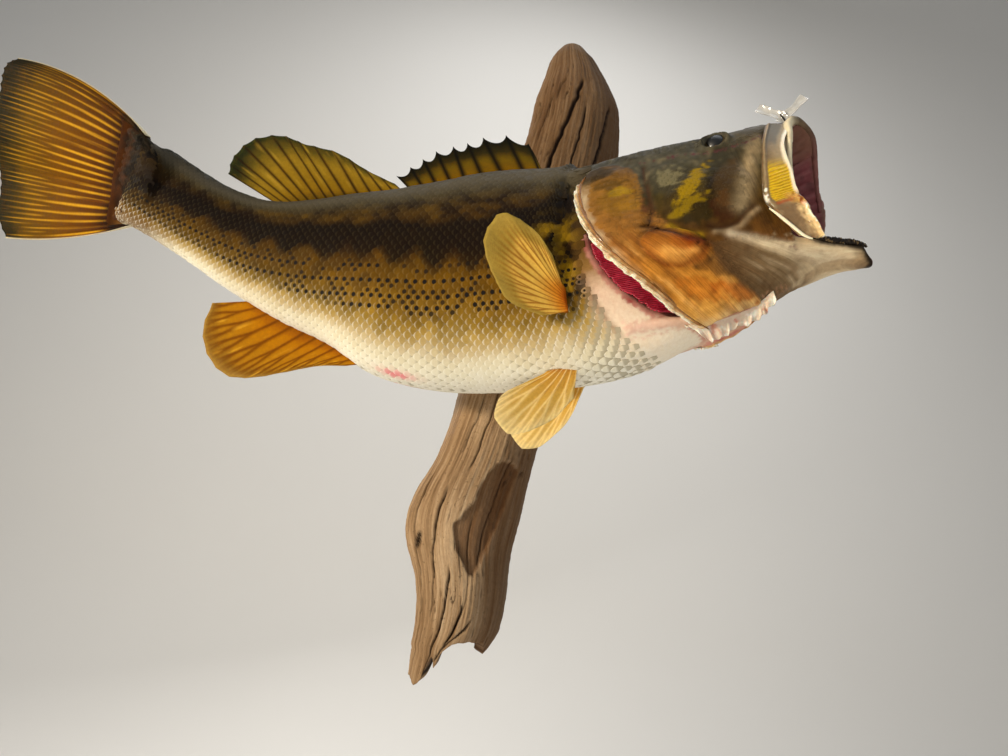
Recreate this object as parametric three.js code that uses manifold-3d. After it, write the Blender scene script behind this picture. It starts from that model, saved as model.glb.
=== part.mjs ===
import * as THREE from "three";
import Module from "manifold-3d";

const wasm = await Module();
wasm.setup();

// Mounted largemouth bass pressed against an upright driftwood log that hangs on a wall.
// Millimetres. Z is up, X runs towards the fish's head and Y goes into the wall.
// The origin is the middle of the flat planed on the back of the log.

const GAP = 0.3;

// Stations along the body, from the root of the tail fin to the shoulder.
// Centre x, y, z, roll towards the viewer, height above, height below and half width.
const BODY = [
  { x: -273, y: -92, z: -3, roll: 14, up: 32, down: 31, half: 8 },
  { x: -239, y: -87, z: -15, roll: 10, up: 30, down: 29, half: 12 },
  { x: -210, y: -84, z: -24, roll: 7, up: 31, down: 31, half: 15 },
  { x: -179, y: -82, z: -32, roll: 5, up: 38, down: 36, half: 20 },
  { x: -145, y: -83, z: -36, roll: 3, up: 50, down: 45, half: 26 },
  { x: -109, y: -85, z: -36, roll: 1, up: 62, down: 56, half: 33 },
  { x: -78, y: -88, z: -36, roll: 0, up: 72, down: 69, half: 38 },
  { x: -43, y: -93, z: -34, roll: 0, up: 81, down: 74, half: 41 },
  { x: -10, y: -100, z: -29, roll: 0, up: 85, down: 75, half: 43 },
  { x: 22, y: -110, z: -24, roll: 0, up: 84, down: 74, half: 43 },
  { x: 53, y: -124, z: -18, roll: 2, up: 81, down: 70, half: 41 },
  { x: 75, y: -138, z: -10, roll: 2, up: 74, down: 64, half: 39 },
];
const BODY_SIDES = 22;
const TAIL_CUT = 2.5;
const SHOULDER = 11;

// How far the front of the shoulder lies ahead of its station, by height.
const SHOULDER_EDGE = [
  { h: -65, ahead: 30 },
  { h: -52, ahead: 4 },
  { h: -30, ahead: -14 },
  { h: 0, ahead: -24 },
  { h: 40, ahead: -20 },
  { h: 76, ahead: -12 },
];

// Head frame at the shoulder: a runs forward, l to the fish's right and h upward.
const HEAD = { x: 75, y: -138, z: -10, pitch: 20, yaw: 31, roll: 2 };

// Skull: distance ahead, height of the crown, height and half width of the margin, roof of the mouth.
const SKULL = [
  { a: -10, top: 76, margin: 57, half: 29, roof: 52 },
  { a: 20, top: 69, margin: 47, half: 33, roof: 45 },
  { a: 46, top: 63, margin: 40, half: 30, roof: 42 },
  { a: 64, top: 60, margin: 36, half: 27, roof: 41 },
  { a: 80, top: 58, margin: 36, half: 24, roof: 42 },
  { a: 97, top: 55, margin: 39, half: 19, roof: 44 },
  { a: 107, top: 52, margin: 43, half: 12, roof: 46 },
];
const EYE = { a: 64, l: 17.5, h: 45, radius: 9.5 };
const FAR_REACH = 12;

// Control points of the head plates, each as ahead, lateral, height.
// Rows run down the plate and columns run forward.
const CHEEK = [
  [[21, 34, 44], [46, 31, 38], [64, 28, 33], [79, 25, 34], [91, 22, 36]],
  [[20, 40, 14], [46, 38, 8], [64, 34, 4], [79, 30, 2], [91, 27, 2]],
  [[33, 39, -13], [46, 37, -21], [60, 34, -23], [75, 31, -28], [88, 27, -33]],
];
const GILL_COVER = [
  [[-12, 37, 53], [-4, 37, 53], [4, 34, 52]],
  [[-20, 43, 37], [-3, 42, 39], [15, 37, 38]],
  [[-20, 49, 15], [0, 46, 14], [18, 40, 12]],
  [[-15, 50, -6], [9, 47, -9], [31, 40, -15]],
  [[-5, 47, -26], [20, 45, -24], [45, 38, -26]],
  [[6, 42, -42], [30, 38, -40], [52, 31, -37]],
  [[16, 29, -56], [38, 26, -54], [58, 18, -51]],
  [[26, 13, -66], [44, 13, -63], [62, 5, -59]],
];
const JAW = [
  [[47, 37, -28], [65, 33, -29], [83, 28, -34], [101, 20, -40], [113, 11, -42], [121, 6, -43]],
  [[54, 31, -37], [67, 29, -38], [84, 25, -39], [102, 17, -43], [114, 10, -46], [121, 6, -48]],
  [[60, 18, -48], [71, 16, -45], [87, 14, -43], [103, 9, -46], [114, 7, -50], [121, 5, -53]],
  [[64, 0, -53], [73, 0, -48], [89, 0, -44], [104, 0, -47], [114, 0, -52], [121, 0, -55]],
];
const MAXILLA = [
  [[94, 21, 46], [100, 18, 46], [106, 14, 43]],
  [[88, 28, 28], [93, 27, 26], [99, 25, 24]],
  [[83, 31.5, 5], [90, 31, 4], [97, 29, 3]],
  [[81, 31.5, -14], [88, 31, -14], [95, 28, -14]],
  [[85, 30, -25], [92, 28.5, -23], [100, 26, -20]],
  [[97, 25, -35], [101, 24, -33], [105, 22, -31]],
];
const LIP = [[97, 24, 2], [100, 22, 18], [104, 17.5, 34], [107, 11, 48], [113, 0, 55]];
const LIP_RADIUS = 3.2;
const TONGUE = { a: 78, h: -43, long: 19, wide: 11, tall: 5 };

// Gill arches stand between the shoulder and the inside of each cover.
const GILL_TOP = 30;
const GILL_BOTTOM = -52;
const GILL_DEPTH = 20;
const GILL_ARCHES = 3;

// Fins. Rays are listed from the front of each base to the back:
// station along the body, length, and sweep back in degrees.
const SPINY_FIN = [
  { s: 8.97, long: 9, sweep: 24 },
  { s: 8.85, long: 33, sweep: 20 },
  { s: 8.45, long: 42, sweep: 24 },
  { s: 8, long: 41, sweep: 26 },
  { s: 7.6, long: 36, sweep: 23 },
  { s: 7.13, long: 34, sweep: 22 },
  { s: 6.75, long: 33, sweep: 30 },
  { s: 6.43, long: 28, sweep: 34 },
  { s: 6.15, long: 23, sweep: 39 },
  { s: 5.88, long: 19, sweep: 51 },
];
const SOFT_FIN = [
  { s: 5.7, long: 12, sweep: 55 },
  { s: 5.25, long: 26, sweep: 48 },
  { s: 4.8, long: 42, sweep: 40 },
  { s: 4.38, long: 54, sweep: 44 },
  { s: 4, long: 64, sweep: 48 },
  { s: 3.65, long: 67, sweep: 58 },
  { s: 3.32, long: 58, sweep: 70 },
  { s: 3, long: 43, sweep: 80 },
];
const ANAL_FIN = [
  { s: 5.7, long: 8, sweep: 72 },
  { s: 5.4, long: 20, sweep: 59 },
  { s: 5.05, long: 36, sweep: 50 },
  { s: 4.7, long: 51, sweep: 48 },
  { s: 4.35, long: 57, sweep: 46 },
  { s: 4, long: 53, sweep: 48 },
  { s: 3.65, long: 42, sweep: 55 },
  { s: 3.35, long: 25, sweep: 68 },
];
// Tail fin: height of the ray on the root, length, angle above the tail's own line, and bow upwards.
const TAIL_FIN = { yaw: 5, roll: 24, pitch: -18 };
const TAIL_RAYS = [
  { root: 31, set: -9, long: 117, fan: 3, bow: 10 },
  { root: 26, set: -6, long: 124, fan: 1, bow: 8 },
  { root: 18, set: -2, long: 126, fan: -2, bow: 5 },
  { root: 9, set: 0, long: 124, fan: -6, bow: 2 },
  { root: 0, set: 2, long: 123, fan: -9, bow: 0 },
  { root: -9, set: 4, long: 122, fan: -13, bow: 0 },
  { root: -18, set: 5, long: 116, fan: -17, bow: -1 },
  { root: -26, set: 6, long: 109, fan: -24, bow: -3 },
  { root: -31, set: 7, long: 101, fan: -31, bow: -5 },
];

// Paired fins: root ends, then ray tips, in the frame of one body station.
// Each point is along the body, lateral and height.
const PECTORAL = {
  station: 9,
  root: [[19, 40, -28], [22, 40, -43]],
  tips: [[14, 49, -9], [6, 57, 3], [-5, 63, 11], [-16, 66, 13], [-24, 65, 1], [-23, 62, -14],
    [-18, 58, -27], [-10, 54, -40], [8, 46, -47]],
};
const PELVIC = {
  station: 9,
  spread: -5,
  root: [[22, 13, -68], [6, 16, -70]],
  tips: [[21, 17, -89], [13, 21, -100], [1, 25, -109], [-11, 27, -113], [-20, 28, -109],
    [-25, 27, -98], [-22, 24, -87], [-11, 19, -79]],
};

// Driftwood sections by height: middle, half width and thickness from the wall.
const LOG = [
  { z: -286, mid: -3, half: 4, deep: 44 },
  { z: -272, mid: 4, half: 20, deep: 52 },
  { z: -250, mid: 9, half: 27, deep: 57 },
  { z: -225, mid: 7, half: 31, deep: 60 },
  { z: -195, mid: -1, half: 37, deep: 64 },
  { z: -172, mid: -1, half: 38, deep: 66 },
  { z: -140, mid: 4, half: 34, deep: 67 },
  { z: -105, mid: 8, half: 33, deep: 68 },
  { z: -60, mid: 12, half: 36, deep: 70 },
  { z: 0, mid: 17, half: 40, deep: 72 },
  { z: 60, mid: 20, half: 41, deep: 70 },
  { z: 115, mid: 21, half: 40, deep: 66 },
  { z: 150, mid: 21, half: 38, deep: 62 },
  { z: 180, mid: 19, half: 36, deep: 57 },
  { z: 205, mid: 15, half: 29, deep: 50 },
  { z: 228, mid: 9, half: 21, deep: 42 },
  { z: 243, mid: 6, half: 13, deep: 32 },
  { z: 249, mid: 5, half: 5, deep: 22 },
];
const LOG_SIDES = 18;
const LOG_ROWS = 28;

const COLOURS = {
  back: 0x4d4a2c,
  belly: 0xb9a878,
  head: 0x5c5a3c,
  plate: 0xa07a3a,
  jaw: 0xb0a28a,
  bone: 0xd8c8a4,
  gill: 0xa81e34,
  flesh: 0xc08a90,
  fin: 0xb98a2c,
  darkFin: 0x6e6428,
  eye: 0x15130f,
  wood: 0xb08a62,
  tape: 0xd9dde0,
};

// Small vector and curve tools.

function vector(point) {
  return new THREE.Vector3(point[0], point[1], point[2]);
}

function splineValue(values, at) {
  const last = values.length - 1;
  const whole = Math.min(Math.max(Math.floor(at), 0), last - 1);
  const t = at - whole;
  const p1 = values[whole];
  const p2 = values[whole + 1];
  const p0 = whole > 0 ? values[whole - 1] : 2 * p1 - p2;
  const p3 = whole + 2 <= last ? values[whole + 2] : 2 * p2 - p1;
  const c = 2 * p0 - 5 * p1 + 4 * p2 - p3;
  const d = 3 * p1 - p0 - 3 * p2 + p3;
  return 0.5 * (2 * p1 + (p2 - p0) * t + c * t * t + d * t * t * t);
}

function splinePoint(points, at) {
  const parts = [0, 1, 2].map((axis) => splineValue(points.map((p) => p[axis]), at));
  return vector(parts);
}

function field(rows, name, at) {
  return splineValue(rows.map((row) => row[name]), at);
}

function lookup(rows, key, name, value) {
  const last = rows.length - 1;
  const clamped = Math.min(Math.max(value, rows[0][key]), rows[last][key]);
  let index = 0;
  while (index < last - 1 && rows[index + 1][key] < clamped) {
    index += 1;
  }
  const span = rows[index + 1][key] - rows[index][key];
  return field(rows, name, index + (clamped - rows[index][key]) / span);
}

function frameFromAngles(pitch, yaw, roll) {
  const p = THREE.MathUtils.degToRad(pitch);
  const y = THREE.MathUtils.degToRad(yaw);
  const forward = vector([Math.cos(p) * Math.cos(y), -Math.cos(p) * Math.sin(y), Math.sin(p)]);
  return frameFromForward(forward, roll);
}

function frameFromForward(forward, roll) {
  const rise = vector([0, 0, 1]).addScaledVector(forward, -forward.z).normalize();
  const side = forward.clone().cross(rise);
  const angle = THREE.MathUtils.degToRad(roll);
  const up = rise.multiplyScalar(Math.cos(angle)).addScaledVector(side, Math.sin(angle));
  return { forward, up, right: forward.clone().cross(up) };
}

function place(frame, a, l, h) {
  const point = frame.origin.clone();
  point.addScaledVector(frame.forward, a);
  point.addScaledVector(frame.right, l);
  return point.addScaledVector(frame.up, h);
}

// Solid builders.

function meshOf(positions, triangles) {
  const flat = positions.flatMap((p) => [p.x, p.y, p.z]);
  const mesh = new wasm.Mesh({
    numProp: 3,
    vertProperties: new Float32Array(flat),
    triVerts: new Uint32Array(triangles),
  });
  const solid = new wasm.Manifold(mesh);
  return solid.volume() < 0 ? new wasm.Manifold(turned(flat, triangles)) : solid;
}

function turned(flat, triangles) {
  const turnedTriangles = new Uint32Array(triangles.length);
  for (let i = 0; i < triangles.length; i += 3) {
    turnedTriangles[i] = triangles[i];
    turnedTriangles[i + 1] = triangles[i + 2];
    turnedTriangles[i + 2] = triangles[i + 1];
  }
  return new wasm.Mesh({
    numProp: 3,
    vertProperties: new Float32Array(flat),
    triVerts: turnedTriangles,
  });
}

function average(points) {
  const total = new THREE.Vector3();
  points.forEach((point) => total.add(point));
  return total.divideScalar(points.length);
}

function loft(rings, startCentre, endCentre) {
  const count = rings[0].length;
  const positions = rings.flat();
  const triangles = [];
  for (let row = 0; row < rings.length - 1; row += 1) {
    for (let i = 0; i < count; i += 1) {
      const next = (i + 1) % count;
      const a = row * count + i;
      const b = row * count + next;
      triangles.push(a, b, b + count, a, b + count, a + count);
    }
  }
  const first = positions.length;
  positions.push(startCentre ?? average(rings[0]));
  positions.push(endCentre ?? average(rings[rings.length - 1]));
  const lastRow = (rings.length - 1) * count;
  for (let i = 0; i < count; i += 1) {
    const next = (i + 1) % count;
    triangles.push(first, next, i);
    triangles.push(first + 1, lastRow + i, lastRow + next);
  }
  return meshOf(positions, triangles);
}

function slab(surface, across, down, thickness) {
  const near = [];
  const far = [];
  const step = 0.01;
  for (let j = 0; j <= down; j += 1) {
    for (let i = 0; i <= across; i += 1) {
      const u = i / across;
      const v = j / down;
      const point = surface(u, v);
      const alongU = surface(Math.min(u + step, 1), v).sub(surface(Math.max(u - step, 0), v));
      const alongV = surface(u, Math.min(v + step, 1)).sub(surface(u, Math.max(v - step, 0)));
      const normal = alongU.cross(alongV).normalize();
      const thick = thickness(u, v);
      near.push(point.clone().addScaledVector(normal, thick.out));
      far.push(point.clone().addScaledVector(normal, -thick.in));
    }
  }
  const row = across + 1;
  const shift = near.length;
  const triangles = [];
  const quad = (a, b, c, d) => triangles.push(a, b, c, a, c, d);
  for (let j = 0; j < down; j += 1) {
    for (let i = 0; i < across; i += 1) {
      const a = j * row + i;
      quad(a, a + 1, a + 1 + row, a + row);
      quad(shift + a + row, shift + a + row + 1, shift + a + 1, shift + a);
    }
  }
  for (let i = 0; i < across; i += 1) {
    const bottom = down * row + i;
    quad(i + 1, i, shift + i, shift + i + 1);
    quad(bottom, bottom + 1, shift + bottom + 1, shift + bottom);
  }
  for (let j = 0; j < down; j += 1) {
    const left = j * row;
    const right = left + across;
    quad(left, left + row, shift + left + row, shift + left);
    quad(right + row, right, shift + right, shift + right + row);
  }
  return meshOf([...near, ...far], triangles);
}

function grown(solid, distance) {
  const mesh = solid.getMesh();
  const count = mesh.vertProperties.length / mesh.numProp;
  const points = [];
  for (let i = 0; i < count; i += 1) {
    points.push(vector(Array.from(mesh.vertProperties.slice(i * mesh.numProp, i * mesh.numProp + 3))));
  }
  const normals = points.map(() => new THREE.Vector3());
  for (let i = 0; i < mesh.triVerts.length; i += 3) {
    const corner = [mesh.triVerts[i], mesh.triVerts[i + 1], mesh.triVerts[i + 2]];
    const edge = points[corner[1]].clone().sub(points[corner[0]]);
    const face = edge.cross(points[corner[2]].clone().sub(points[corner[0]])).normalize();
    for (let k = 0; k < 3; k += 1) {
      const ahead = points[corner[(k + 1) % 3]].clone().sub(points[corner[k]]);
      const behind = points[corner[(k + 2) % 3]].clone().sub(points[corner[k]]);
      normals[corner[k]].addScaledVector(face, ahead.angleTo(behind));
    }
  }
  points.forEach((point, i) => point.addScaledVector(normals[i].normalize(), distance));
  return meshOf(points, Array.from(mesh.triVerts));
}

function cutBy(solid, others) {
  return others.reduce((left, other) => left.subtract(grown(other, GAP * 1.4)), solid);
}

// The body.

function bodyFrame(s) {
  const step = 0.02;
  const centre = (at) => vector([field(BODY, "x", at), field(BODY, "y", at), field(BODY, "z", at)]);
  const ahead = centre(Math.min(s + step, SHOULDER));
  const behind = centre(Math.max(s - step, 0));
  const frame = frameFromForward(ahead.sub(behind).normalize(), field(BODY, "roll", s));
  return { ...frame, origin: centre(s) };
}

function shoulderAhead(h) {
  return lookup(SHOULDER_EDGE, "h", "ahead", h);
}

function bodyPoint(s, angle, inset = 0) {
  const frame = bodyFrame(s);
  const up = field(BODY, "up", s) - inset;
  const down = field(BODY, "down", s) - inset;
  const half = field(BODY, "half", s) - inset;
  const cosine = Math.cos(angle);
  const sine = Math.sin(angle);
  const fullness = cosine > 0 ? 1 - 0.015 * s : 0.9;
  const l = half * Math.sign(sine) * Math.abs(sine) ** fullness;
  const h = (cosine > 0 ? up : down) * cosine;
  const lean = Math.max(0, (s - 8.5) / (SHOULDER - 8.5));
  return place(frame, shoulderAhead(h) * lean, l, h);
}

function bodyRing(s) {
  const ring = [];
  for (let i = 0; i < BODY_SIDES; i += 1) {
    ring.push(bodyPoint(s, (2 * Math.PI * i) / BODY_SIDES));
  }
  return ring;
}

function bodyLoft(from, to, rows, endCentre) {
  const rings = [];
  for (let row = 0; row <= rows; row += 1) {
    rings.push(bodyRing(from + ((to - from) * row) / rows));
  }
  return loft(rings, undefined, endCentre);
}

// The head.

const headFrame = {
  ...frameFromAngles(HEAD.pitch, HEAD.yaw, HEAD.roll),
  origin: vector([HEAD.x, HEAD.y, HEAD.z]),
};

function headPoint(a, l, h) {
  return place(headFrame, a, l, h);
}

function skullSolid() {
  const rings = [];
  const rows = 10;
  for (let row = 0; row <= rows; row += 1) {
    const at = ((SKULL.length - 1) * row) / rows;
    const half = field(SKULL, "half", at);
    const margin = field(SKULL, "margin", at);
    const top = field(SKULL, "top", at);
    const roof = field(SKULL, "roof", at);
    const ring = [];
    for (let i = 0; i <= 10; i += 1) {
      const angle = (Math.PI * i) / 10;
      const l = half * Math.cos(angle);
      const h = margin + (top - margin) * Math.sin(angle) ** 0.8;
      ring.push([l, h]);
    }
    for (let i = 1; i < 6; i += 1) {
      const turn = (Math.PI * i) / 6;
      ring.push([-(half - 4) * Math.cos(turn), margin - 1 + (roof - margin) * Math.sin(turn)]);
    }
    const a = field(SKULL, "a", at);
    const back = 1 - Math.min(row / 3, 1);
    rings.push(ring.map(([l, h]) => headPoint(a + back * (shoulderAhead(h) + 12), l, h)));
  }
  return loft(rings);
}

function plate(grid, side, reach, across, down, thick) {
  const columns = grid[0].length - 1;
  const rows = grid.length - 1;
  const surface = (u, v) => {
    const line = grid.map((row) => splinePoint(row, u * columns));
    const point = splinePoint(line.map((p) => [p.x, p.y, p.z]), v * rows);
    const stretch = reach * Math.max(0, (point.x - 70) / 35);
    return headPoint(point.x + Math.min(stretch, reach), side * point.y, point.z);
  };
  const outward = (u, v) => ({ out: side > 0 ? 0 : thick(u, v), in: side > 0 ? thick(u, v) : 0 });
  return slab(surface, across, down, outward);
}

function lowerJaw() {
  const rows = JAW.length - 1;
  const columns = JAW[0].length - 1;
  const surface = (u, v) => {
    const side = v < 0.5 ? 1 : -1;
    const depth = v < 0.5 ? v * 2 : 2 - v * 2;
    const line = JAW.map((row) => splinePoint(row, u * columns));
    const point = splinePoint(line.map((p) => [p.x, p.y, p.z]), depth * rows);
    return headPoint(point.x, side * point.y, point.z);
  };
  return slab(surface, 8, 12, () => ({ out: 0, in: 3 }));
}

function upperLip() {
  const far = LIP.slice(0, -1).reverse().map((p) => [p[0] + FAR_REACH * 0.9, -p[1], p[2]]);
  const path = [...LIP, ...far];
  const rings = [];
  const rows = 16;
  const last = path.length - 1;
  for (let row = 0; row <= rows; row += 1) {
    const at = (last * row) / rows;
    const centre = splinePoint(path, at);
    const ahead = splinePoint(path, Math.min(at + 0.05, last));
    const along = ahead.sub(splinePoint(path, Math.max(at - 0.05, 0))).normalize();
    const out = vector([1, 0, 0]).addScaledVector(along, -along.x).normalize();
    const side = along.clone().cross(out);
    const radius = LIP_RADIUS * (0.55 + 0.45 * Math.sin((Math.PI * row) / rows));
    const ring = [];
    for (let i = 0; i < 6; i += 1) {
      const angle = (2 * Math.PI * i) / 6;
      const point = centre.clone().addScaledVector(out, radius * Math.cos(angle));
      point.addScaledVector(side, radius * 1.3 * Math.sin(angle));
      ring.push(headPoint(point.x, point.y, point.z));
    }
    rings.push(ring);
  }
  return loft(rings);
}

function ball(centre, radius, squash) {
  const sphere = new THREE.SphereGeometry(radius, 12, 8);
  sphere.scale(squash[0], squash[1], squash[2]);
  const solid = solidFrom(sphere);
  const frame = headFrame;
  const turn = new THREE.Matrix4().makeBasis(frame.forward, frame.right, frame.up);
  turn.setPosition(headPoint(centre[0], centre[1], centre[2]));
  return movedBy(solid, turn);
}

function movedBy(solid, matrix) {
  const mesh = solid.getMesh();
  const points = [];
  for (let i = 0; i < mesh.vertProperties.length; i += mesh.numProp) {
    const point = vector([mesh.vertProperties[i], mesh.vertProperties[i + 1], mesh.vertProperties[i + 2]]);
    points.push(point.applyMatrix4(matrix));
  }
  return meshOf(points, Array.from(mesh.triVerts));
}

function halfSpace(side) {
  const box = boxSolid([400, 200, 400], [0, side * (100 + GAP / 2), 0]);
  const turn = new THREE.Matrix4().makeBasis(headFrame.forward, headFrame.right, headFrame.up);
  turn.setPosition(headFrame.origin);
  return movedBy(box, turn);
}

function gillArches(side) {
  const surface = (u, v) => {
    const h = GILL_TOP + (GILL_BOTTOM - GILL_TOP) * v;
    const bulge = Math.sin(Math.PI * v);
    const ripple = 1.1 * Math.sin(u * GILL_ARCHES * 2 * Math.PI);
    const a = shoulderAhead(h) + 3 + u * GILL_DEPTH * (0.45 + 0.55 * bulge);
    const l = 25 + 9 * bulge - 5 * u + ripple;
    return headPoint(a, side * l, h);
  };
  const thick = () => ({ out: 1.6, in: 1.6 });
  return slab(surface, 7, 8, thick);
}

// The fins.

function rayFin(rays, side, thinEdge, notch) {
  const root = [];
  const tip = [];
  const angle = side > 0 ? 0 : Math.PI;
  rays.forEach((ray) => {
    const frame = bodyFrame(ray.s);
    const sweep = THREE.MathUtils.degToRad(ray.sweep);
    const start = bodyPoint(ray.s, angle).addScaledVector(frame.up, -3 * side);
    const end = start.clone();
    end.addScaledVector(frame.up, side * (ray.long + 3) * Math.cos(sweep));
    end.addScaledVector(frame.forward, -(ray.long + 3) * Math.sin(sweep));
    root.push([start.x, start.y, start.z]);
    tip.push([end.x, end.y, end.z]);
  });
  const last = rays.length - 1;
  const surface = (u, v) => {
    const at = u * last;
    const low = splinePoint(root, at);
    const high = splinePoint(tip, at);
    const dip = notch * Math.abs(Math.sin(Math.PI * at)) ** 0.7;
    return low.lerp(high, v * (1 - dip));
  };
  const thick = (u, v) => {
    const half = 1.1 + (thinEdge - 1.1) * v;
    return { out: half, in: half };
  };
  return slab(surface, last * 2, 3, thick);
}

function tailFin() {
  const frame = {
    ...frameFromAngles(TAIL_FIN.pitch, TAIL_FIN.yaw, TAIL_FIN.roll),
    origin: vector([BODY[0].x, BODY[0].y, BODY[0].z]),
  };
  const root = TAIL_RAYS.map((ray) => {
    const point = place(frame, ray.set + 6, 0, ray.root * 0.97);
    return [point.x, point.y, point.z];
  });
  const tip = TAIL_RAYS.map((ray) => {
    const angle = THREE.MathUtils.degToRad(ray.fan);
    const a = ray.set - ray.long * Math.cos(angle);
    const h = ray.root + ray.long * Math.sin(angle);
    const point = place(frame, a, 4 * Math.sin(ray.root / 9), h);
    return [point.x, point.y, point.z];
  });
  const last = root.length - 1;
  const surface = (u, v) => {
    const point = splinePoint(root, u * last).lerp(splinePoint(tip, u * last), v);
    const wave = 1.6 * v * Math.sin(u * 5 * Math.PI);
    point.addScaledVector(frame.right, wave);
    return point.addScaledVector(frame.up, 4 * v * (1 - v) * field(TAIL_RAYS, "bow", u * last));
  };
  const thick = (u, v) => ({ out: 2.6 - 2.2 * Math.sqrt(v), in: 2.6 - 2.2 * Math.sqrt(v) });
  return slab(surface, 16, 5, thick);
}

function pairedFin(fin, side, ripple) {
  const frame = bodyFrame(fin.station);
  const spread = side > 0 ? 0 : fin.spread ?? 0;
  const last = fin.tips.length - 1;
  const surface = (u, v) => {
    const start = splinePoint(fin.root, u);
    const end = splinePoint(fin.tips, u * last);
    const point = start.lerp(end, v);
    const wave = ripple * v * Math.sin(u * last * Math.PI);
    return place(frame, point.x + spread * v, side * (point.y + wave + spread * v), point.z - spread * v);
  };
  const thick = (u, v) => ({ out: 1.5 - 1.2 * Math.sqrt(v), in: 1.5 - 1.2 * Math.sqrt(v) });
  return slab(surface, last * 2, 3, thick);
}

// The driftwood.

function logSolid() {
  const rings = [];
  for (let row = 0; row <= LOG_ROWS; row += 1) {
    const at = ((LOG.length - 1) * row) / LOG_ROWS;
    const z = field(LOG, "z", at);
    const mid = field(LOG, "mid", at);
    const half = field(LOG, "half", at);
    const deep = field(LOG, "deep", at);
    const ring = [];
    for (let i = 0; i < LOG_SIDES; i += 1) {
      const angle = (2 * Math.PI * i) / LOG_SIDES;
      const grain = 1 + 0.02 * Math.sin(5 * angle + 0.02 * z) + 0.012 * Math.sin(9 * angle - 0.035 * z);
      const x = mid + half * grain * Math.cos(angle);
      const y = -0.44 * deep - 0.56 * deep * grain * Math.sin(angle);
      ring.push(vector([x, y + peel(x, z, Math.sin(angle)), z]));
    }
    rings.push(ring);
  }
  const whole = loft(rings);
  const front = boxSolid([600, 600, 800], [0, -300, 0]);
  return whole.intersect(front).subtract(hollowEnd()).subtract(knotHole());
}

function peel(x, z, facing) {
  const inside = facing > 0.2 && x > -14 && z < -140 && z > -222;
  return inside ? 2.4 : 0;
}

function hollowEnd() {
  const notch = new THREE.CylinderGeometry(6, 15, 56, 14);
  notch.rotateX(0.16);
  notch.rotateY(0.3);
  notch.translate(17, -32, -285);
  return solidFrom(notch);
}

function knotHole() {
  const hole = new THREE.SphereGeometry(6, 12, 8);
  hole.scale(0.7, 1.2, 1.6);
  hole.translate(-27, -52, -199);
  return solidFrom(hole);
}

function boxSolid(size, centre) {
  const box = new THREE.BoxGeometry(size[0], size[1], size[2]);
  box.translate(centre[0], centre[1], centre[2]);
  return solidFrom(box);
}

function solidFrom(geometry) {
  geometry.deleteAttribute("normal");
  geometry.deleteAttribute("uv");
  const positions = geometry.getAttribute("position");
  const keys = new Map();
  const points = [];
  const remap = [];
  for (let i = 0; i < positions.count; i += 1) {
    const point = new THREE.Vector3().fromBufferAttribute(positions, i);
    const key = [point.x, point.y, point.z].map((value) => Math.round(value * 1e4) + 0).join(" ");
    if (!keys.has(key)) {
      keys.set(key, points.length);
      points.push(point);
    }
    remap.push(keys.get(key));
  }
  const triangles = [];
  for (let i = 0; i < geometry.index.count; i += 3) {
    const corner = [0, 1, 2].map((k) => remap[geometry.index.getX(i + k)]);
    if (corner[0] !== corner[1] && corner[1] !== corner[2] && corner[2] !== corner[0]) {
      triangles.push(...corner);
    }
  }
  return meshOf(points, triangles);
}

// The strip of clear tape held on the snout by a bent pin.

function snoutTape() {
  const arms = [
    [[94, 4, 73], [100, 4, 66], [106, 4, 59]],
    [[105, 4, 58], [113, 4, 62], [121, 4, 67]],
    [[103, 4, 60], [107, 4.5, 56], [110, 5, 52]],
  ];
  const solids = arms.map((arm) => {
    const rings = [0, 0.5, 1, 1.5, 2].map((at) => {
      const centre = splinePoint(arm, at);
      const ring = [[-3.2, -0.5], [3.2, -0.5], [3.2, 0.5], [-3.2, 0.5]];
      return ring.map(([wide, thick]) => headPoint(centre.x, centre.y + thick, centre.z + wide));
    });
    return loft(rings);
  });
  return solids.reduce((whole, next) => whole.add(next));
}

// Assembly.

const group = new THREE.Group();
group.name = "mounted_largemouth_bass";

function addSolid(name, solid, colour, roughness = 0.6) {
  const mesh = solid.simplify(0.1).getMesh();
  const geometry = new THREE.BufferGeometry();
  const positions = new Float32Array((mesh.vertProperties.length / mesh.numProp) * 3);
  for (let i = 0; i < positions.length / 3; i += 1) {
    positions[3 * i] = mesh.vertProperties[i * mesh.numProp];
    positions[3 * i + 1] = mesh.vertProperties[i * mesh.numProp + 1];
    positions[3 * i + 2] = mesh.vertProperties[i * mesh.numProp + 2];
  }
  geometry.setAttribute("position", new THREE.BufferAttribute(positions, 3));
  geometry.setIndex(new THREE.BufferAttribute(new Uint32Array(mesh.triVerts), 1));
  geometry.computeVertexNormals();
  const material = new THREE.MeshStandardMaterial({ color: colour, roughness });
  const node = new THREE.Mesh(geometry, material);
  node.name = name;
  group.add(node);
}

const cutGap = 0.005;
const tail = bodyLoft(0, TAIL_CUT - cutGap, 5);
const trunkEnd = headPoint(-26, 0, 5);
const trunk = bodyLoft(TAIL_CUT + cutGap, SHOULDER, 20, trunkEnd);
addSolid("tail", tail, COLOURS.back);
addSolid("trunk", trunk, COLOURS.back);

const log = cutBy(logSolid(), [trunk]);
addSolid("driftwood", log, COLOURS.wood, 0.9);

const lip = upperLip();
const eyes = [1, -1].map((side) => ball([EYE.a, side * EYE.l, EYE.h], EYE.radius, [1, 1, 1]));
const skull = cutBy(skullSolid(), [trunk, lip, ...eyes]);
addSolid("skull", skull, COLOURS.head);
addSolid("premaxilla_right", lip.intersect(halfSpace(1)), COLOURS.bone);
addSolid("premaxilla_left", lip.intersect(halfSpace(-1)), COLOURS.bone);
addSolid("eye_right", eyes[0], COLOURS.eye, 0.1);
addSolid("eye_left", eyes[1], COLOURS.eye, 0.1);

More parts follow.
